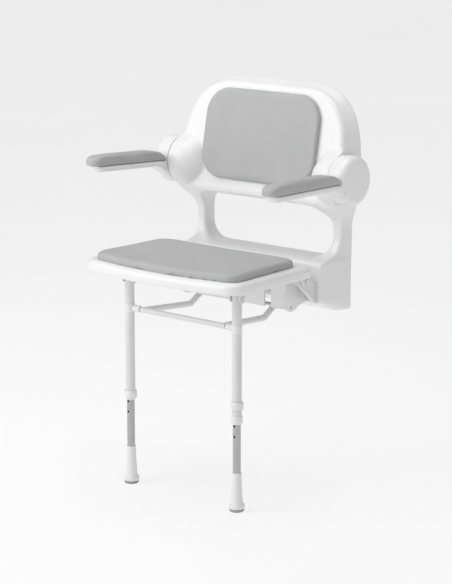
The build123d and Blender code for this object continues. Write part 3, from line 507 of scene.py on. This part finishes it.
def back_moulding():
    """The moulding as one surface: columns run round the opening, and rows run from the wall
    edge of the opening, over its rounded border, across the front face and over the rounded
    rim to the wall edge. The front face is a sheet whose Y and height follow the side profile,
    pushed forward by the boss of each arm pivot."""
    profile = smooth_line(FRONT_PROFILE, PROFILE_SAMPLES)
    run = np.concatenate([[0], np.cumsum(np.linalg.norm(np.diff(profile, axis=0), axis=1))])
    middle = (OPENING_LOW + OPENING_HIGH) / 2
    front = smooth_line(FRONT_OUTLINE, OUTLINE_SAMPLES)
    wall = smooth_line(WALL_OUTLINE, OUTLINE_SAMPLES)
    hole = opening_half_loop()

    def bearing(line):
        return np.arctan2(line[:, 0], middle - line[:, 1])

    def crossing(line):
        return np.stack([np.interp(angle, bearing(line), line[:, k]) for k in (0, 1)], -1)

    shares = np.linspace(0, 1, COLUMNS)
    angle = np.interp(shares, np.linspace(0, 1, OUTLINE_SAMPLES), bearing(front))
    outer, back, inner = crossing(front), crossing(wall), crossing(hole)
    outer_run = np.interp(outer[:, 1], profile[:, 1], run)
    inner_run = np.interp(inner[:, 1], profile[:, 1], run)

    start = np.stack([inner[:, 0], inner_run], -1)
    end = np.stack([outer[:, 0], outer_run], -1)
    span = np.linalg.norm(end - start, axis=1)[:, None]
    along = (end - start) / span
    near_hub = 1 - step(np.abs(up(outer[:, 1]) - HUB_Z), *HUB_EDGE_FADE)
    rounding = COLUMN_EDGE + (OUTER_EDGE - COLUMN_EDGE) * step(outer[:, 1], *COLUMN_END)
    rim = (rounding + (HUB_EDGE - rounding) * near_hub)[:, None]

    def on_front(sheet):
        x, w = sheet[:, 0], sheet[:, 1]
        y = np.interp(w, run, profile[:, 0])
        height = np.interp(w, run, profile[:, 1])
        return np.stack([x, soft_least(y, boss_depth(x, height), BOSS_BLEND), height], -1)

    rows = []
    # wall of the opening, from the wall face to the start of its rounded border
    border = on_front(start)
    border[:, 1] += INNER_EDGE
    for share in np.linspace(0, 1, 7)[:-1]:
        row = border.copy()
        row[:, 1] *= share
        row[:, [0, 2]] = inner
        rows.append(row)
    for turn in np.linspace(pi / 2, 0, 5)[:-1]:
        row = on_front(start + along * INNER_EDGE * (1 - np.sin(turn)))
        row[:, 1] += INNER_EDGE * (1 - np.cos(turn))
        rows.append(row)
    for share in np.linspace(0, 1, 26):
        rows.append(on_front(start + along * (INNER_EDGE + (span - INNER_EDGE - rim) * share)))
    for turn in np.linspace(0, pi / 2, 6)[1:]:
        row = on_front(end - along * rim * (1 - np.sin(turn)))
        row[:, 1] += rim[:, 0] * (1 - np.cos(turn))
        rows.append(row)
    # sides, which flare a little towards the wall, and the underside, which drops towards it
    edge = rows[-1]
    in_corner = (outer[:, 0] > FOOT_CORNER[0]) & (outer[:, 1] < FOOT_CORNER[1])
    underside = (outer[:, 1] < UNDERSIDE_TOP) | in_corner
    for share in np.linspace(1, 0, SIDE_ROWS)[1:]:
        fall = np.clip((share - UNDERSIDE_START) / (1 - UNDERSIDE_START), 0, 1) ** UNDERSIDE_CURVE
        drop = np.where(underside, fall, share)
        row = edge.copy()
        row[:, 0] = back[:, 0] + (edge[:, 0] - back[:, 0]) * share
        row[:, 1] = edge[:, 1] * share
        row[:, 2] = back[:, 1] + (edge[:, 2] - back[:, 1]) * drop
        rows.append(row)
    half = np.array(rows)
    # flat seat for the arm's hub
    away = np.hypot(half[..., 1] - HUB_Y, up(half[..., 2]) - HUB_Z)
    limit = BOSS_FACE + HUB_SEAT_RISE * step(away, *HUB_SEAT_FADE)
    half[..., 0] = np.minimum(half[..., 0], limit)
    half[..., 2] = up(half[..., 2])
    mirrored = half[:, -2:0:-1] * np.array([-1.0, 1.0, 1.0])
    whole = np.concatenate([half, mirrored], axis=1)
    made = piece_of("back_moulding", whole, grid_faces(*whole.shape[:2]), "white_moulding",
                    "wall_unit", ["back_shell"])
    wall_depth = made.modifiers.new("wall", "SOLIDIFY")
    wall_depth.thickness = SHELL_WALL
    wall_depth.offset = -1.0
    smooth = made.modifiers.new("smooth", "SUBSURF")
    smooth.levels = smooth.render_levels = 1


# ------------------------------------------------------------------ closed forms

LOOP_CORNER_SAMPLES = 12


def rounded_loop(half_front, half_rear, y_front, y_rear, bow, round_front, round_rear, count=160):
    """Plan loop of a seat or pad: straight sides between quarter-circle corners, sampled evenly
    round its length, with the front pushed forward by a parabola that fades towards the rear."""
    def corner(x, y, radius, first_turn):
        turn = first_turn + np.linspace(0, pi / 2, LOOP_CORNER_SAMPLES)
        return np.stack([x + radius * np.cos(turn), y + radius * np.sin(turn)], -1)

    right_front = corner(half_front - round_front, y_front + round_front, round_front, -pi / 2)
    right_rear = corner(half_rear - round_rear, y_rear - round_rear, round_rear, 0)
    half = np.vstack([[0.0, y_front], right_front, right_rear, [0.0, y_rear]])
    lapped = np.vstack([half, half[-2:0:-1] * np.array([-1.0, 1.0]), half[:1]])
    run = np.concatenate([[0], np.cumsum(np.linalg.norm(np.diff(lapped, axis=0), axis=1))])
    even = np.linspace(0, run[-1], count, endpoint=False)
    loop = np.stack([np.interp(even, run, lapped[:, k]) for k in (0, 1)], -1)
    share = (loop[:, 0] / half_front) ** 2
    forward = np.clip((y_rear - loop[:, 1]) / (y_rear - y_front), 0, 1) ** 2
    loop[:, 1] -= bow * (1 - share) * forward
    return loop


def stacked(name, rings, slot, body, stands_for=()):
    """A closed form from rings of points, whose first and last rings have shrunk to a point."""
    rings = np.array(rings)
    return piece_of(name, rings, grid_faces(*rings.shape[:2]), slot, body, stands_for)


def turned(name, centre, axis, profile, slot, body, stands_for=(), sides=64):
    """A turned form: a profile of (distance along the axis, radius) spun about X, Y or Z."""
    profile = np.array(profile, float)
    spin = np.linspace(0, 2 * pi, sides, endpoint=False)
    along = np.repeat(profile[:, :1], sides, axis=1)
    c = profile[:, 1:] * np.cos(spin)
    s = profile[:, 1:] * np.sin(spin)
    order = {"X": (along, c, s), "Y": (s, along, c), "Z": (c, s, along)}[axis]
    rings = np.stack(order, -1) + np.array(centre)
    return stacked(name, rings, slot, body, stands_for)


def rounded_profile(corners, radius, turns=5):
    """A turned profile with each inner corner replaced by a parabola that leaves its sides that
    radius away, or just under half a side where the side is short."""
    p = np.array(corners, float)
    out = [p[:1]]
    for before, here, after in zip(p[:-2], p[1:-1], p[2:]):
        a, b = before - here, after - here
        la, lb = np.linalg.norm(a), np.linalg.norm(b)
        reach = min(radius, 0.48 * la, 0.48 * lb)
        first, last = here + a / la * reach, here + b / lb * reach
        t = np.linspace(0, 1, turns)[:, None]
        out.append((1 - t) ** 2 * first + 2 * t * (1 - t) * here + t ** 2 * last)
    out.append(p[-1:])
    return np.vstack(out)


# ------------------------------------------------------------------ pads

VOXEL = 0.004
CLOTH_FRAMES = 20
CLOTH_STEPS = 5
SKIN_MASS = 0.3
SKIN_STRETCH = 40
SKIN_BEND = 4
PAD_PRESSURE = 3.0
PAD_LIP = 0.0004
BASE_DRAW = 0.985
CROWN_POWER = 2.4
GLUED_SHARE = 0.6


def inflate(piece, height, cap):
    """Swells a pad as skin over foam: voxel remesh, cloth with pressure, and a cap on how far
    a point may move, which fades to nothing at the glued base on Z = 0."""
    bpy.context.view_layer.objects.active = piece
    remesh = piece.modifiers.new("remesh", "REMESH")
    remesh.mode = "VOXEL"
    remesh.voxel_size = VOXEL
    bpy.ops.object.modifier_apply(modifier="remesh")
    count = len(piece.data.vertices)
    rest = np.zeros(count * 3)
    piece.data.vertices.foreach_get("co", rest)
    rest = rest.reshape(-1, 3)
    cloth = piece.modifiers.new("cloth", "CLOTH")
    cloth.settings.quality = CLOTH_STEPS
    cloth.settings.mass = SKIN_MASS
    cloth.settings.tension_stiffness = SKIN_STRETCH
    cloth.settings.compression_stiffness = SKIN_STRETCH
    cloth.settings.bending_stiffness = SKIN_BEND
    cloth.settings.use_pressure = True
    cloth.settings.uniform_pressure_force = PAD_PRESSURE
    cloth.settings.effector_weights.gravity = 0.0
    cloth.point_cache.frame_start = 1
    cloth.point_cache.frame_end = CLOTH_FRAMES
    for moment in range(1, CLOTH_FRAMES + 1):
        bpy.context.scene.frame_set(moment)
    graph = bpy.context.evaluated_depsgraph_get()
    swollen = np.zeros(count * 3)
    piece.evaluated_get(graph).data.vertices.foreach_get("co", swollen)
    piece.modifiers.remove(cloth)
    bpy.context.scene.frame_set(1)
    move = swollen.reshape(-1, 3) - rest
    far = np.linalg.norm(move, axis=1, keepdims=True)
    move *= np.minimum(1.0, cap / np.maximum(far, 1e-9))
    fade = step(rest[:, 2] / height, 0.0, GLUED_SHARE)[:, None]
    rest = rest + move * fade
    piece.data.vertices.foreach_set("co", rest.ravel())
    piece.data.update()


def pad_rings(loop, centre, thickness, edge, crown):
    """Rings of a pad on Z = 0: flat base, upright side, rounded shoulder and crowned top.
    Each ring is the plan loop, drawn in by a distance and lifted."""
    out = []
    reach = np.linalg.norm(loop - centre, axis=1, keepdims=True)
    inwards = (centre - loop) / reach
    for share in np.linspace(0, 1, 12)[:-1]:
        out.append((centre + (loop - centre) * share * BASE_DRAW, 0.0))
    out.append((loop + inwards * PAD_LIP, 0.0))
    out.append((loop, PAD_LIP))
    out.append((loop, thickness - edge))
    for turn in np.linspace(0, pi / 2, 7)[1:]:
        drawn, fallen = edge * (1 - np.cos(turn)), edge * (1 - np.sin(turn))
        out.append((loop + inwards * drawn, thickness - fallen))
    brim = out[-1][0]
    for share in np.linspace(1, 0, 14)[1:]:
        rise = crown * (1 - share ** CROWN_POWER)
        out.append((centre + (brim - centre) * share, thickness + rise))
    return np.array([np.column_stack([ring, np.full(len(ring), z)]) for ring, z in out])


def pad(name, rings, place, body, node, height, cap):
    """A padded piece: made flat, swollen, then put in its place by a function of its points."""
    made = stacked(name, rings, "grey_pad", body, [node])
    made.data.materials.clear()
    inflate(made, height, cap)
    made.data.materials.append(FINISHES["grey_pad"])
    count = len(made.data.vertices)
    points = np.zeros(count * 3)
    made.data.vertices.foreach_get("co", points)
    made.data.vertices.foreach_set("co", place(points.reshape(-1, 3)).ravel())
    made.data.polygons.foreach_set("use_smooth", np.ones(len(made.data.polygons), bool))
    made.data.update()
    smooth = made.modifiers.new("smooth", "SUBSURF")
    smooth.levels = smooth.render_levels = 1


LEAN_TOP = (-0.038, 0.921)
LEAN_LOW = (-0.079, 0.707)
BACK_PAD_SIZE = (0.336, 0.218)
BACK_PAD_ROUND = 0.062
BACK_PAD_BOW = 0.018
BACK_PAD_DEPTH = 0.0105
BACK_PAD_EDGE = 0.006
BACK_PAD_CROWN = 0.0012
BACK_PAD_SWELL = 0.002


def back_pad():
    """The back pad: a rounded rectangle whose sides bow out as parabolas, laid along the line
    from LEAN_LOW to LEAN_TOP, on the leaning front of the moulding."""
    half_x, half_z = BACK_PAD_SIZE[0] / 2, BACK_PAD_SIZE[1] / 2
    loop = rounded_loop(half_x, half_x, -half_z, half_z, 0.0, BACK_PAD_ROUND, BACK_PAD_ROUND)
    across = loop[:, ::-1] / np.array([half_z, half_x])
    loop *= 1 + BACK_PAD_BOW * (1 - across ** 2)
    rise = np.array([0.0, LEAN_TOP[0] - LEAN_LOW[0], LEAN_TOP[1] - LEAN_LOW[1]])
    rise /= np.linalg.norm(rise)
    out = np.array([0.0, -rise[2], rise[1]])
    centre = np.array([0.0, (LEAN_TOP[0] + LEAN_LOW[0]) / 2, up((LEAN_TOP[1] + LEAN_LOW[1]) / 2)])

    def place(p):
        return centre + p[:, :1] * np.array([1.0, 0, 0]) + p[:, 1:2] * rise + p[:, 2:] * out

    rings = pad_rings(loop, np.zeros(2), BACK_PAD_DEPTH, BACK_PAD_EDGE, BACK_PAD_CROWN)
    pad("back_cushion", rings, place, "wall_unit", "back_pad", BACK_PAD_DEPTH, BACK_PAD_SWELL)


SEAT_PAD_REAR_HALF = 0.2045
SEAT_PAD_BOW = 0.023
SEAT_PAD_ROUND = 0.026
PAD_SINK = 0.001
SEAT_PAD_HEIGHT = 0.014
SEAT_PAD_EDGE = 0.007
SEAT_PAD_CROWN = 0.002
SEAT_PAD_SWELL = 0.0025
SEAT_PAD_INSET = (0.0005, 0.001)


def seat_pad():
    """The seat pad: a rounded loop, wider at the front, with a bowed front edge, that rises
    straight and rounds over to a crowned top. It is sunk a little into the deck."""
    low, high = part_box("seat_pad")
    loop = rounded_loop(high.x - SEAT_PAD_INSET[0], SEAT_PAD_REAR_HALF,
                        low.y + SEAT_PAD_INSET[1] + SEAT_PAD_BOW, high.y,
                        SEAT_PAD_BOW, SEAT_PAD_ROUND, SEAT_PAD_ROUND)
    centre = np.array([0.0, (low.y + high.y) / 2])

    def place(p):
        return p + np.array([0.0, 0.0, low.z - PAD_SINK])

    rings = pad_rings(loop, centre, high.z - low.z - PAD_SINK, SEAT_PAD_EDGE, SEAT_PAD_CROWN)
    pad("seat_cushion", rings, place, "seat", "seat_pad", SEAT_PAD_HEIGHT, SEAT_PAD_SWELL)


# ------------------------------------------------------------------ arms

# The arms are drawn level and then turned up a little about the hub, as their stops leave them
ARM_RAISE = {"left": radians(3.0), "right": radians(0.5)}
ARM_BASE = up(0.724)
ARM_TOP = up(0.740)
ARM_TIP = -0.3525
ARM_FAR = 0.286
ARM_PAD_TIP = -0.3692
ARM_PAD_REAR = -0.117
ARM_PAD_DEPTH = 0.0235
ARM_PAD_INSET = 0.0005
ARM_PAD_SINK = 0.0004
ARM_PAD_TIP_ROUND = 0.86
ARM_PAD_REAR_ROUND = 0.005
ARM_PAD_EDGE = 0.010
ARM_PAD_CROWN = 0.0015
ARM_PAD_SWELL = 0.002
ARM_PAD_SAMPLES = 140
ARM_PAD_SLANT = 0.029
ARM_PAD_SLANT_REACH = 0.09
ARM_PAD_SLANT_POWER = 1.4
ARM_PAD_NOSE_REACH = 0.03
ARM_PAD_NOSE_DROP = 0.004


def raised(points, side_name):
    """Points turned about the hub's axis by the arm's rest angle, front end up."""
    turn = ARM_RAISE[side_name]
    y, z = points[..., 1] - HUB_Y, points[..., 2] - HUB_Z
    out = points.copy()
    out[..., 1] = HUB_Y + y * np.cos(turn) + z * np.sin(turn)
    out[..., 2] = HUB_Z - y * np.sin(turn) + z * np.cos(turn)
    return out


def arm_pad(side, side_name):
    """An arm pad: a long rounded rectangle. Near the rear a point moves forward with its height,
    which slants the end away from the hub. Near the tip it moves down, which rounds the nose."""
    half = (ARM_FAR - ARM_NEAR) / 2 - ARM_PAD_INSET
    middle = side * (ARM_FAR + ARM_NEAR) / 2
    loop = rounded_loop(half, half, ARM_PAD_TIP, ARM_PAD_REAR, 0.0, half * ARM_PAD_TIP_ROUND,
                        ARM_PAD_REAR_ROUND, ARM_PAD_SAMPLES)
    centre = np.array([0.0, (ARM_PAD_TIP + ARM_PAD_REAR) / 2])

    def place(p):
        q = p.copy()
        lift = np.clip(q[:, 2] / ARM_PAD_DEPTH, 0, 1.1)
        near_rear = step(q[:, 1], ARM_PAD_REAR - ARM_PAD_SLANT_REACH, ARM_PAD_REAR)
        q[:, 1] -= ARM_PAD_SLANT * lift ** ARM_PAD_SLANT_POWER * near_rear
        near_tip = 1 - step(q[:, 1], ARM_PAD_TIP, ARM_PAD_TIP + ARM_PAD_NOSE_REACH)
        q[:, 2] -= ARM_PAD_NOSE_DROP * near_tip * lift
        return raised(q + np.array([middle, 0.0, ARM_TOP - ARM_PAD_SINK]), side_name)

    rings = pad_rings(loop, centre, ARM_PAD_DEPTH - ARM_PAD_CROWN, ARM_PAD_EDGE, ARM_PAD_CROWN)
    pad(f"arm_cushion_{side_name}", rings, place, f"arm_{side_name}_unit",
        f"arm_pad_{side_name}", ARM_PAD_DEPTH, ARM_PAD_SWELL)


ARM_ROUND = 3.6
ARM_TIP_ROUND = 0.017
ARM_TIP_WIDTH = 0.30
ARM_TIP_LIFT = 0.0015
ARM_INSET = 0.0004
ARM_ROOF_GAP = 0.0006
ARM_SECTIONS = 70
ARM_POINTS = 64
ARM_SPACING = 1.6
ROOT_OVERLAP = 0.014
ROOT_FLARE = 0.040
ROOT_DROP = 0.020
ROOT_RISE = 0.012
ROOT_RISE_START = 0.004
# Share of the tip section and distance in front of it, from the nose back
ARM_NOSE = ((0.0, 0.0012), (0.5, 0.0010), (0.85, 0.0006))


def superellipse(turn):
    """Unit width and height round a square-shouldered oval: cosine and sine, each raised to the
    power of 2 over ARM_ROUND with its sign kept."""
    across, rise = np.cos(turn), np.sin(turn)
    return (np.sign(across) * np.abs(across) ** (2 / ARM_ROUND),
            np.sign(rise) * np.abs(rise) ** (2 / ARM_ROUND))


def arm(side, side_name):
    """The arm beam: square-shouldered oval sections carried from the tip back into the hub. The
    section narrows round the tip, and deepens below and above as it runs into the drum."""
    middle = side * (ARM_NEAR + ARM_FAR) / 2
    half = (ARM_FAR - ARM_NEAR) / 2 - ARM_INSET
    root = HUB_Y - HUB_R
    end = root + ROOT_OVERLAP
    y = ARM_TIP + (end - ARM_TIP) * np.linspace(0, 1, ARM_SECTIONS) ** ARM_SPACING
    short = np.clip(ARM_TIP_ROUND - (y - ARM_TIP), 0, None) / ARM_TIP_ROUND
    round_tip = np.sqrt(np.clip(1 - short ** 2, 0, 1))
    width = half * (ARM_TIP_WIDTH + (1 - ARM_TIP_WIDTH) * round_tip)
    into_hub = step(y, root - ROOT_FLARE, end)
    base = ARM_BASE + ARM_TIP_LIFT * short ** 2 - ROOT_DROP * into_hub ** ARM_SPACING
    roof = ARM_TOP - ARM_ROOF_GAP + ROOT_RISE * step(y, root - ROOT_RISE_START, end)
    across, rise = superellipse(np.linspace(0, 2 * pi, ARM_POINTS, endpoint=False))
    x = middle + width[:, None] * across
    z = ((roof + base) / 2)[:, None] + ((roof - base) / 2)[:, None] * rise
    rings = np.stack([x, np.repeat(y[:, None], ARM_POINTS, axis=1), z], -1)
    tip = rings[:1].mean(axis=1, keepdims=True)
    nose = [tip + (rings[:1] - tip) * part - np.array([0.0, forward, 0.0])
            for part, forward in ARM_NOSE]
    last = np.repeat(rings[-1:].mean(axis=1, keepdims=True), ARM_POINTS, axis=1)
    rings = np.concatenate(nose + [rings, last])
    stacked(f"arm_beam_{side_name}", raised(rings, side_name), "white_moulding",
            f"arm_{side_name}_unit", [f"arm_{side_name}"])


HUB_ROUND = 0.016
HUB_DOME = 0.0012
HUB_GAP = 0.0006
HUB_SIDES = 120
SEAM_INSET = 0.002
SEAM_DEPTH = 0.0004
SEAM_WIDTH = 0.0012
PIVOT_BORE = 0.0085


def hub(side, side_name):
    """The drum that the arm turns with: a barrel, a large rounded edge and a faintly domed face,
    turned about the pivot, with a thin line where the face's cap is pressed in."""
    near, far = ARM_NEAR + HUB_GAP, HUB_FACE
    inner = HUB_R - HUB_ROUND
    dome = np.linspace(0, 1, 10)
    face = np.stack([far - HUB_DOME * dome ** 2, inner * dome], -1)
    face[:, 0] -= SEAM_DEPTH * np.exp(-((face[:, 1] - inner + SEAM_INSET) / SEAM_WIDTH) ** 2)
    edge = np.linspace(0, pi / 2, 12)[1:]
    roll = np.stack([far - HUB_DOME - (HUB_ROUND - HUB_DOME) * (1 - np.cos(edge)),
                     inner + HUB_ROUND * np.sin(edge)], -1)
    barrel = np.array([(near + 0.001, HUB_R), (near + 0.0003, HUB_R - 0.0003),
                       (near, HUB_R - 0.001), (near, PIVOT_BORE),
                       (near + 0.004, PIVOT_BORE), (near + 0.004, 0.0)])
    outline = np.vstack([face, roll, barrel])
    outline[:, 0] *= side
    turned(f"hub_drum_{side_name}", (0.0, HUB_Y, HUB_Z), "X", outline, "white_moulding",
           f"arm_{side_name}_unit", [f"hub_cap_{side_name}"], HUB_SIDES)


# ------------------------------------------------------------------ seat moulding

SEAT_ROLL = 0.0125
SEAT_SKIN = 0.005
SEAT_BOW = 0.028
SEAT_FRONT_ROUND = 0.036
SEAT_REAR_ROUND = 0.028
SEAT_SAMPLES = 220
LEAST_ROUND = 0.006
DECK_DIP = 0.0012
DECK_INSET = 0.024
SHOULDER = (0.0185, 0.0004)
ROLL_WIDTH = 1.1 * SEAT_ROLL
RIM_INSET = 0.0003
RIM_FOOT = 0.0065
LIP_ROUND = 0.002
# Inset and height above the base or below the top, up the inner wall and along the ceiling
INNER_WALL_FOOT = (0.0008, 0.001)
INNER_WALL_TOP = (0.001, 0.012)
INNER_CORNER = (0.005, 0.0062)
CEILING = (0.016, 0.006)


def seat_moulding():
    """The seat: a deck with a rolled rim and a hollow underside, as rings from the middle of the
    deck, over the rim and back under to the middle of the underside. Each ring is the plan loop
    drawn in by an inset, and the rim's rings follow a quarter ellipse."""
    low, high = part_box("seat_shell")
    half, front, rear = high.x, low.y, high.y

    def loop(inset):
        rear_round = max(SEAT_REAR_ROUND - inset, LEAST_ROUND)
        return rounded_loop(half - inset, half - inset, front + SEAT_BOW + inset, rear - inset,
                            SEAT_BOW, SEAT_FRONT_ROUND - inset, rear_round, SEAT_SAMPLES)

    centre = np.array([0.0, (front + rear) / 2])
    top, base = high.z, low.z
    rings = []

    def ring(inset, z, share=1.0):
        line = centre + (loop(inset) - centre) * share
        rings.append(np.column_stack([line, np.full(len(line), z)]))

    for share in np.linspace(0, 1, 9):
        ring(DECK_INSET, top - DECK_DIP, share)
    ring(SHOULDER[0], top - SHOULDER[1])
    for turn in np.linspace(0, pi / 2, 9):
        ring(ROLL_WIDTH * (1 - np.sin(turn)), top - SEAT_ROLL * (1 - np.cos(turn)))
    ring(RIM_INSET, base + RIM_FOOT)
    for turn in np.linspace(0, pi / 2, 4)[1:]:
        ring(RIM_INSET + LIP_ROUND * (1 - np.cos(turn)), base + LIP_ROUND * (1 - np.sin(turn)))
    ring(SEAT_SKIN, base)
    ring(SEAT_SKIN + INNER_WALL_FOOT[0], base + INNER_WALL_FOOT[1])
    ring(SEAT_SKIN + INNER_WALL_TOP[0], top - INNER_WALL_TOP[1])
    ring(SEAT_SKIN + INNER_CORNER[0], top - INNER_CORNER[1])
    for share in np.linspace(1, 0, 9):
        ring(CEILING[0], top - CEILING[1], share)
    stacked("seat_moulding", rings, "white_moulding", "seat", ["seat_shell"])


# ------------------------------------------------------------------ legs

TUBE_R = 0.01125
COLLAR_BORE = 0.0094
RING_BORE = 0.0137
RING_LIP = 0.0115
CLIP_SKIN = 0.0008
COLLAR_ROUND = 0.0022
RING_ROUND = 0.0024
CLIP_ROUND = 0.0005
BOSS_ROUND = 0.0016
PAD_FOOT_ROUND = 0.0012
# Half width of a ferrule up its height above its base, where the flare runs into the tube
FLARE = ((0.0145, 0.0144), (0.022, 0.0137), (0.043, 0.0123), (0.065, 0.0114))
FLARE_SAMPLES = 30
FERRULE_TOP_R = 0.0111
FERRULE_SIDES = 72
CLIP_BOSS = ((0.131, 0.0046), (0.131, 0.0074), (0.134, 0.0080), (0.144, 0.0086), (0.1535, 0.0081),
             (0.1535, 0.0046), (0.131, 0.0046))


def leg_fittings(side, side_name):
    """Collar, lock ring, clip, ferrule and rubber pad of one leg, each an outline of height and
    radius with rounded corners, spun about the leg. The clip's boss is spun about the bar."""
    tube_low, tube_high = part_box(f"leg_tube_{side_name}")
    x, y = (tube_low.x + tube_high.x) / 2, (tube_low.y + tube_high.y) / 2
    upper, lower = f"leg_{side_name}", f"inner_{side_name}"

    def spun(name, corners, radius, body, node, slot="white_nylon"):
        turned(name, (x, y, 0.0), "Z", rounded_profile(corners, radius), slot, body, [node])

    low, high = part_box(f"collar_{side_name}")
    wide = (high.x - low.x) / 2
    spun(f"leg_collar_{side_name}",
         [(low.z + 0.001, COLLAR_BORE), (low.z, COLLAR_BORE + 0.001), (low.z, wide - 0.0022),
          (low.z + 0.004, wide), (high.z - 0.003, wide), (high.z, wide - 0.0014),
          (high.z, TUBE_R - 0.0006), (low.z + 0.004, TUBE_R - 0.0006),
          (low.z + 0.001, COLLAR_BORE)],
         COLLAR_ROUND, upper, f"collar_{side_name}")

    low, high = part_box(f"lock_ring_{side_name}")
    wide = (high.x - low.x) / 2
    spun(f"loose_ring_{side_name}",
         [(low.z + 0.001, RING_BORE), (low.z, RING_BORE + 0.0006), (low.z, wide - 0.0008),
          (low.z + 0.0045, wide), (high.z - 0.004, wide), (high.z, wide - 0.0022),
          (high.z, RING_LIP), (high.z - 0.0018, RING_LIP), (high.z - 0.0018, RING_BORE),
          (low.z + 0.001, RING_BORE)],
         RING_ROUND, f"ring_{side_name}", f"lock_ring_{side_name}")

    low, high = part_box(f"leg_clip_{side_name}")
    wide = TUBE_R + CLIP_SKIN
    spun(f"clip_sleeve_{side_name}",
         [(low.z + 0.0005, TUBE_R - 0.0005), (low.z, TUBE_R), (low.z + 0.0006, wide),
          (high.z - 0.0006, wide), (high.z, TUBE_R), (high.z - 0.0005, TUBE_R - 0.0005),
          (low.z + 0.0005, TUBE_R - 0.0005)],
         CLIP_ROUND, upper, f"leg_clip_{side_name}")
    bar_low, bar_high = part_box("link_crossbar")
    clip_y = (bar_low.y + bar_high.y) / 2
    boss = rounded_profile(CLIP_BOSS, BOSS_ROUND)
    boss[:, 0] *= side
    turned(f"clip_boss_{side_name}", (0.0, clip_y, (low.z + high.z) / 2), "X", boss,
           "white_nylon", upper)

    low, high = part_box(f"foot_{side_name}")
    wide = (high.x - low.x) / 2
    flare_end = (high.z - 0.003, FERRULE_TOP_R)
    flare = smooth_line([(low.z + height, r) for height, r in FLARE] + [flare_end], FLARE_SAMPLES)
    base = rounded_profile([(low.z, 0.0), (low.z, wide - 0.0012), (low.z + 0.0018, wide),
                            (low.z + 0.0085, wide), (low.z + 0.0115, wide - 0.0022),
                            (low.z + 0.0128, 0.0150), tuple(flare[0])], 0.0016)
    rim = rounded_profile([flare_end, (high.z, 0.0108), (high.z, 0.0090),
                           (high.z - 0.004, 0.0086), (high.z - 0.004, 0.0)], 0.0010)
    turned(f"ferrule_{side_name}", (x, y, 0.0), "Z", np.vstack([base[:-1], flare, rim[1:]]),
           "white_nylon", lower, [f"foot_{side_name}"], FERRULE_SIDES)

    low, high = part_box(f"foot_pad_{side_name}")
    wide = (high.x - low.x) / 2
    spun(f"rubber_pad_{side_name}",
         [(low.z + 0.0006, 0.0), (low.z + 0.0006, wide - 0.006), (low.z, wide - 0.005),
          (low.z, wide - 0.002), (low.z + 0.002, wide), (high.z, wide), (high.z, 0.0)],
         PAD_FOOT_ROUND, lower, f"foot_pad_{side_name}", "grey_rubber")


def dress_frame():
    """Puts the made finishes on every CAD node that stays in view."""
    slot_of = {part["node"]: part["material_slot"] for part in frame["record"]["subparts"]}
    for name, node in frame["nodes"].items():
        node.data.materials.clear()
        node.data.materials.append(FINISHES[slot_of[name]])


camera()
studio()
studio_floor(floor_paint())
dress_frame()
back_moulding()
back_pad()
seat_pad()
seat_moulding()
for side, side_name in SIDES:
    arm_pad(side, side_name)
    arm(side, side_name)
    hub(side, side_name)
    leg_fittings(side, side_name)
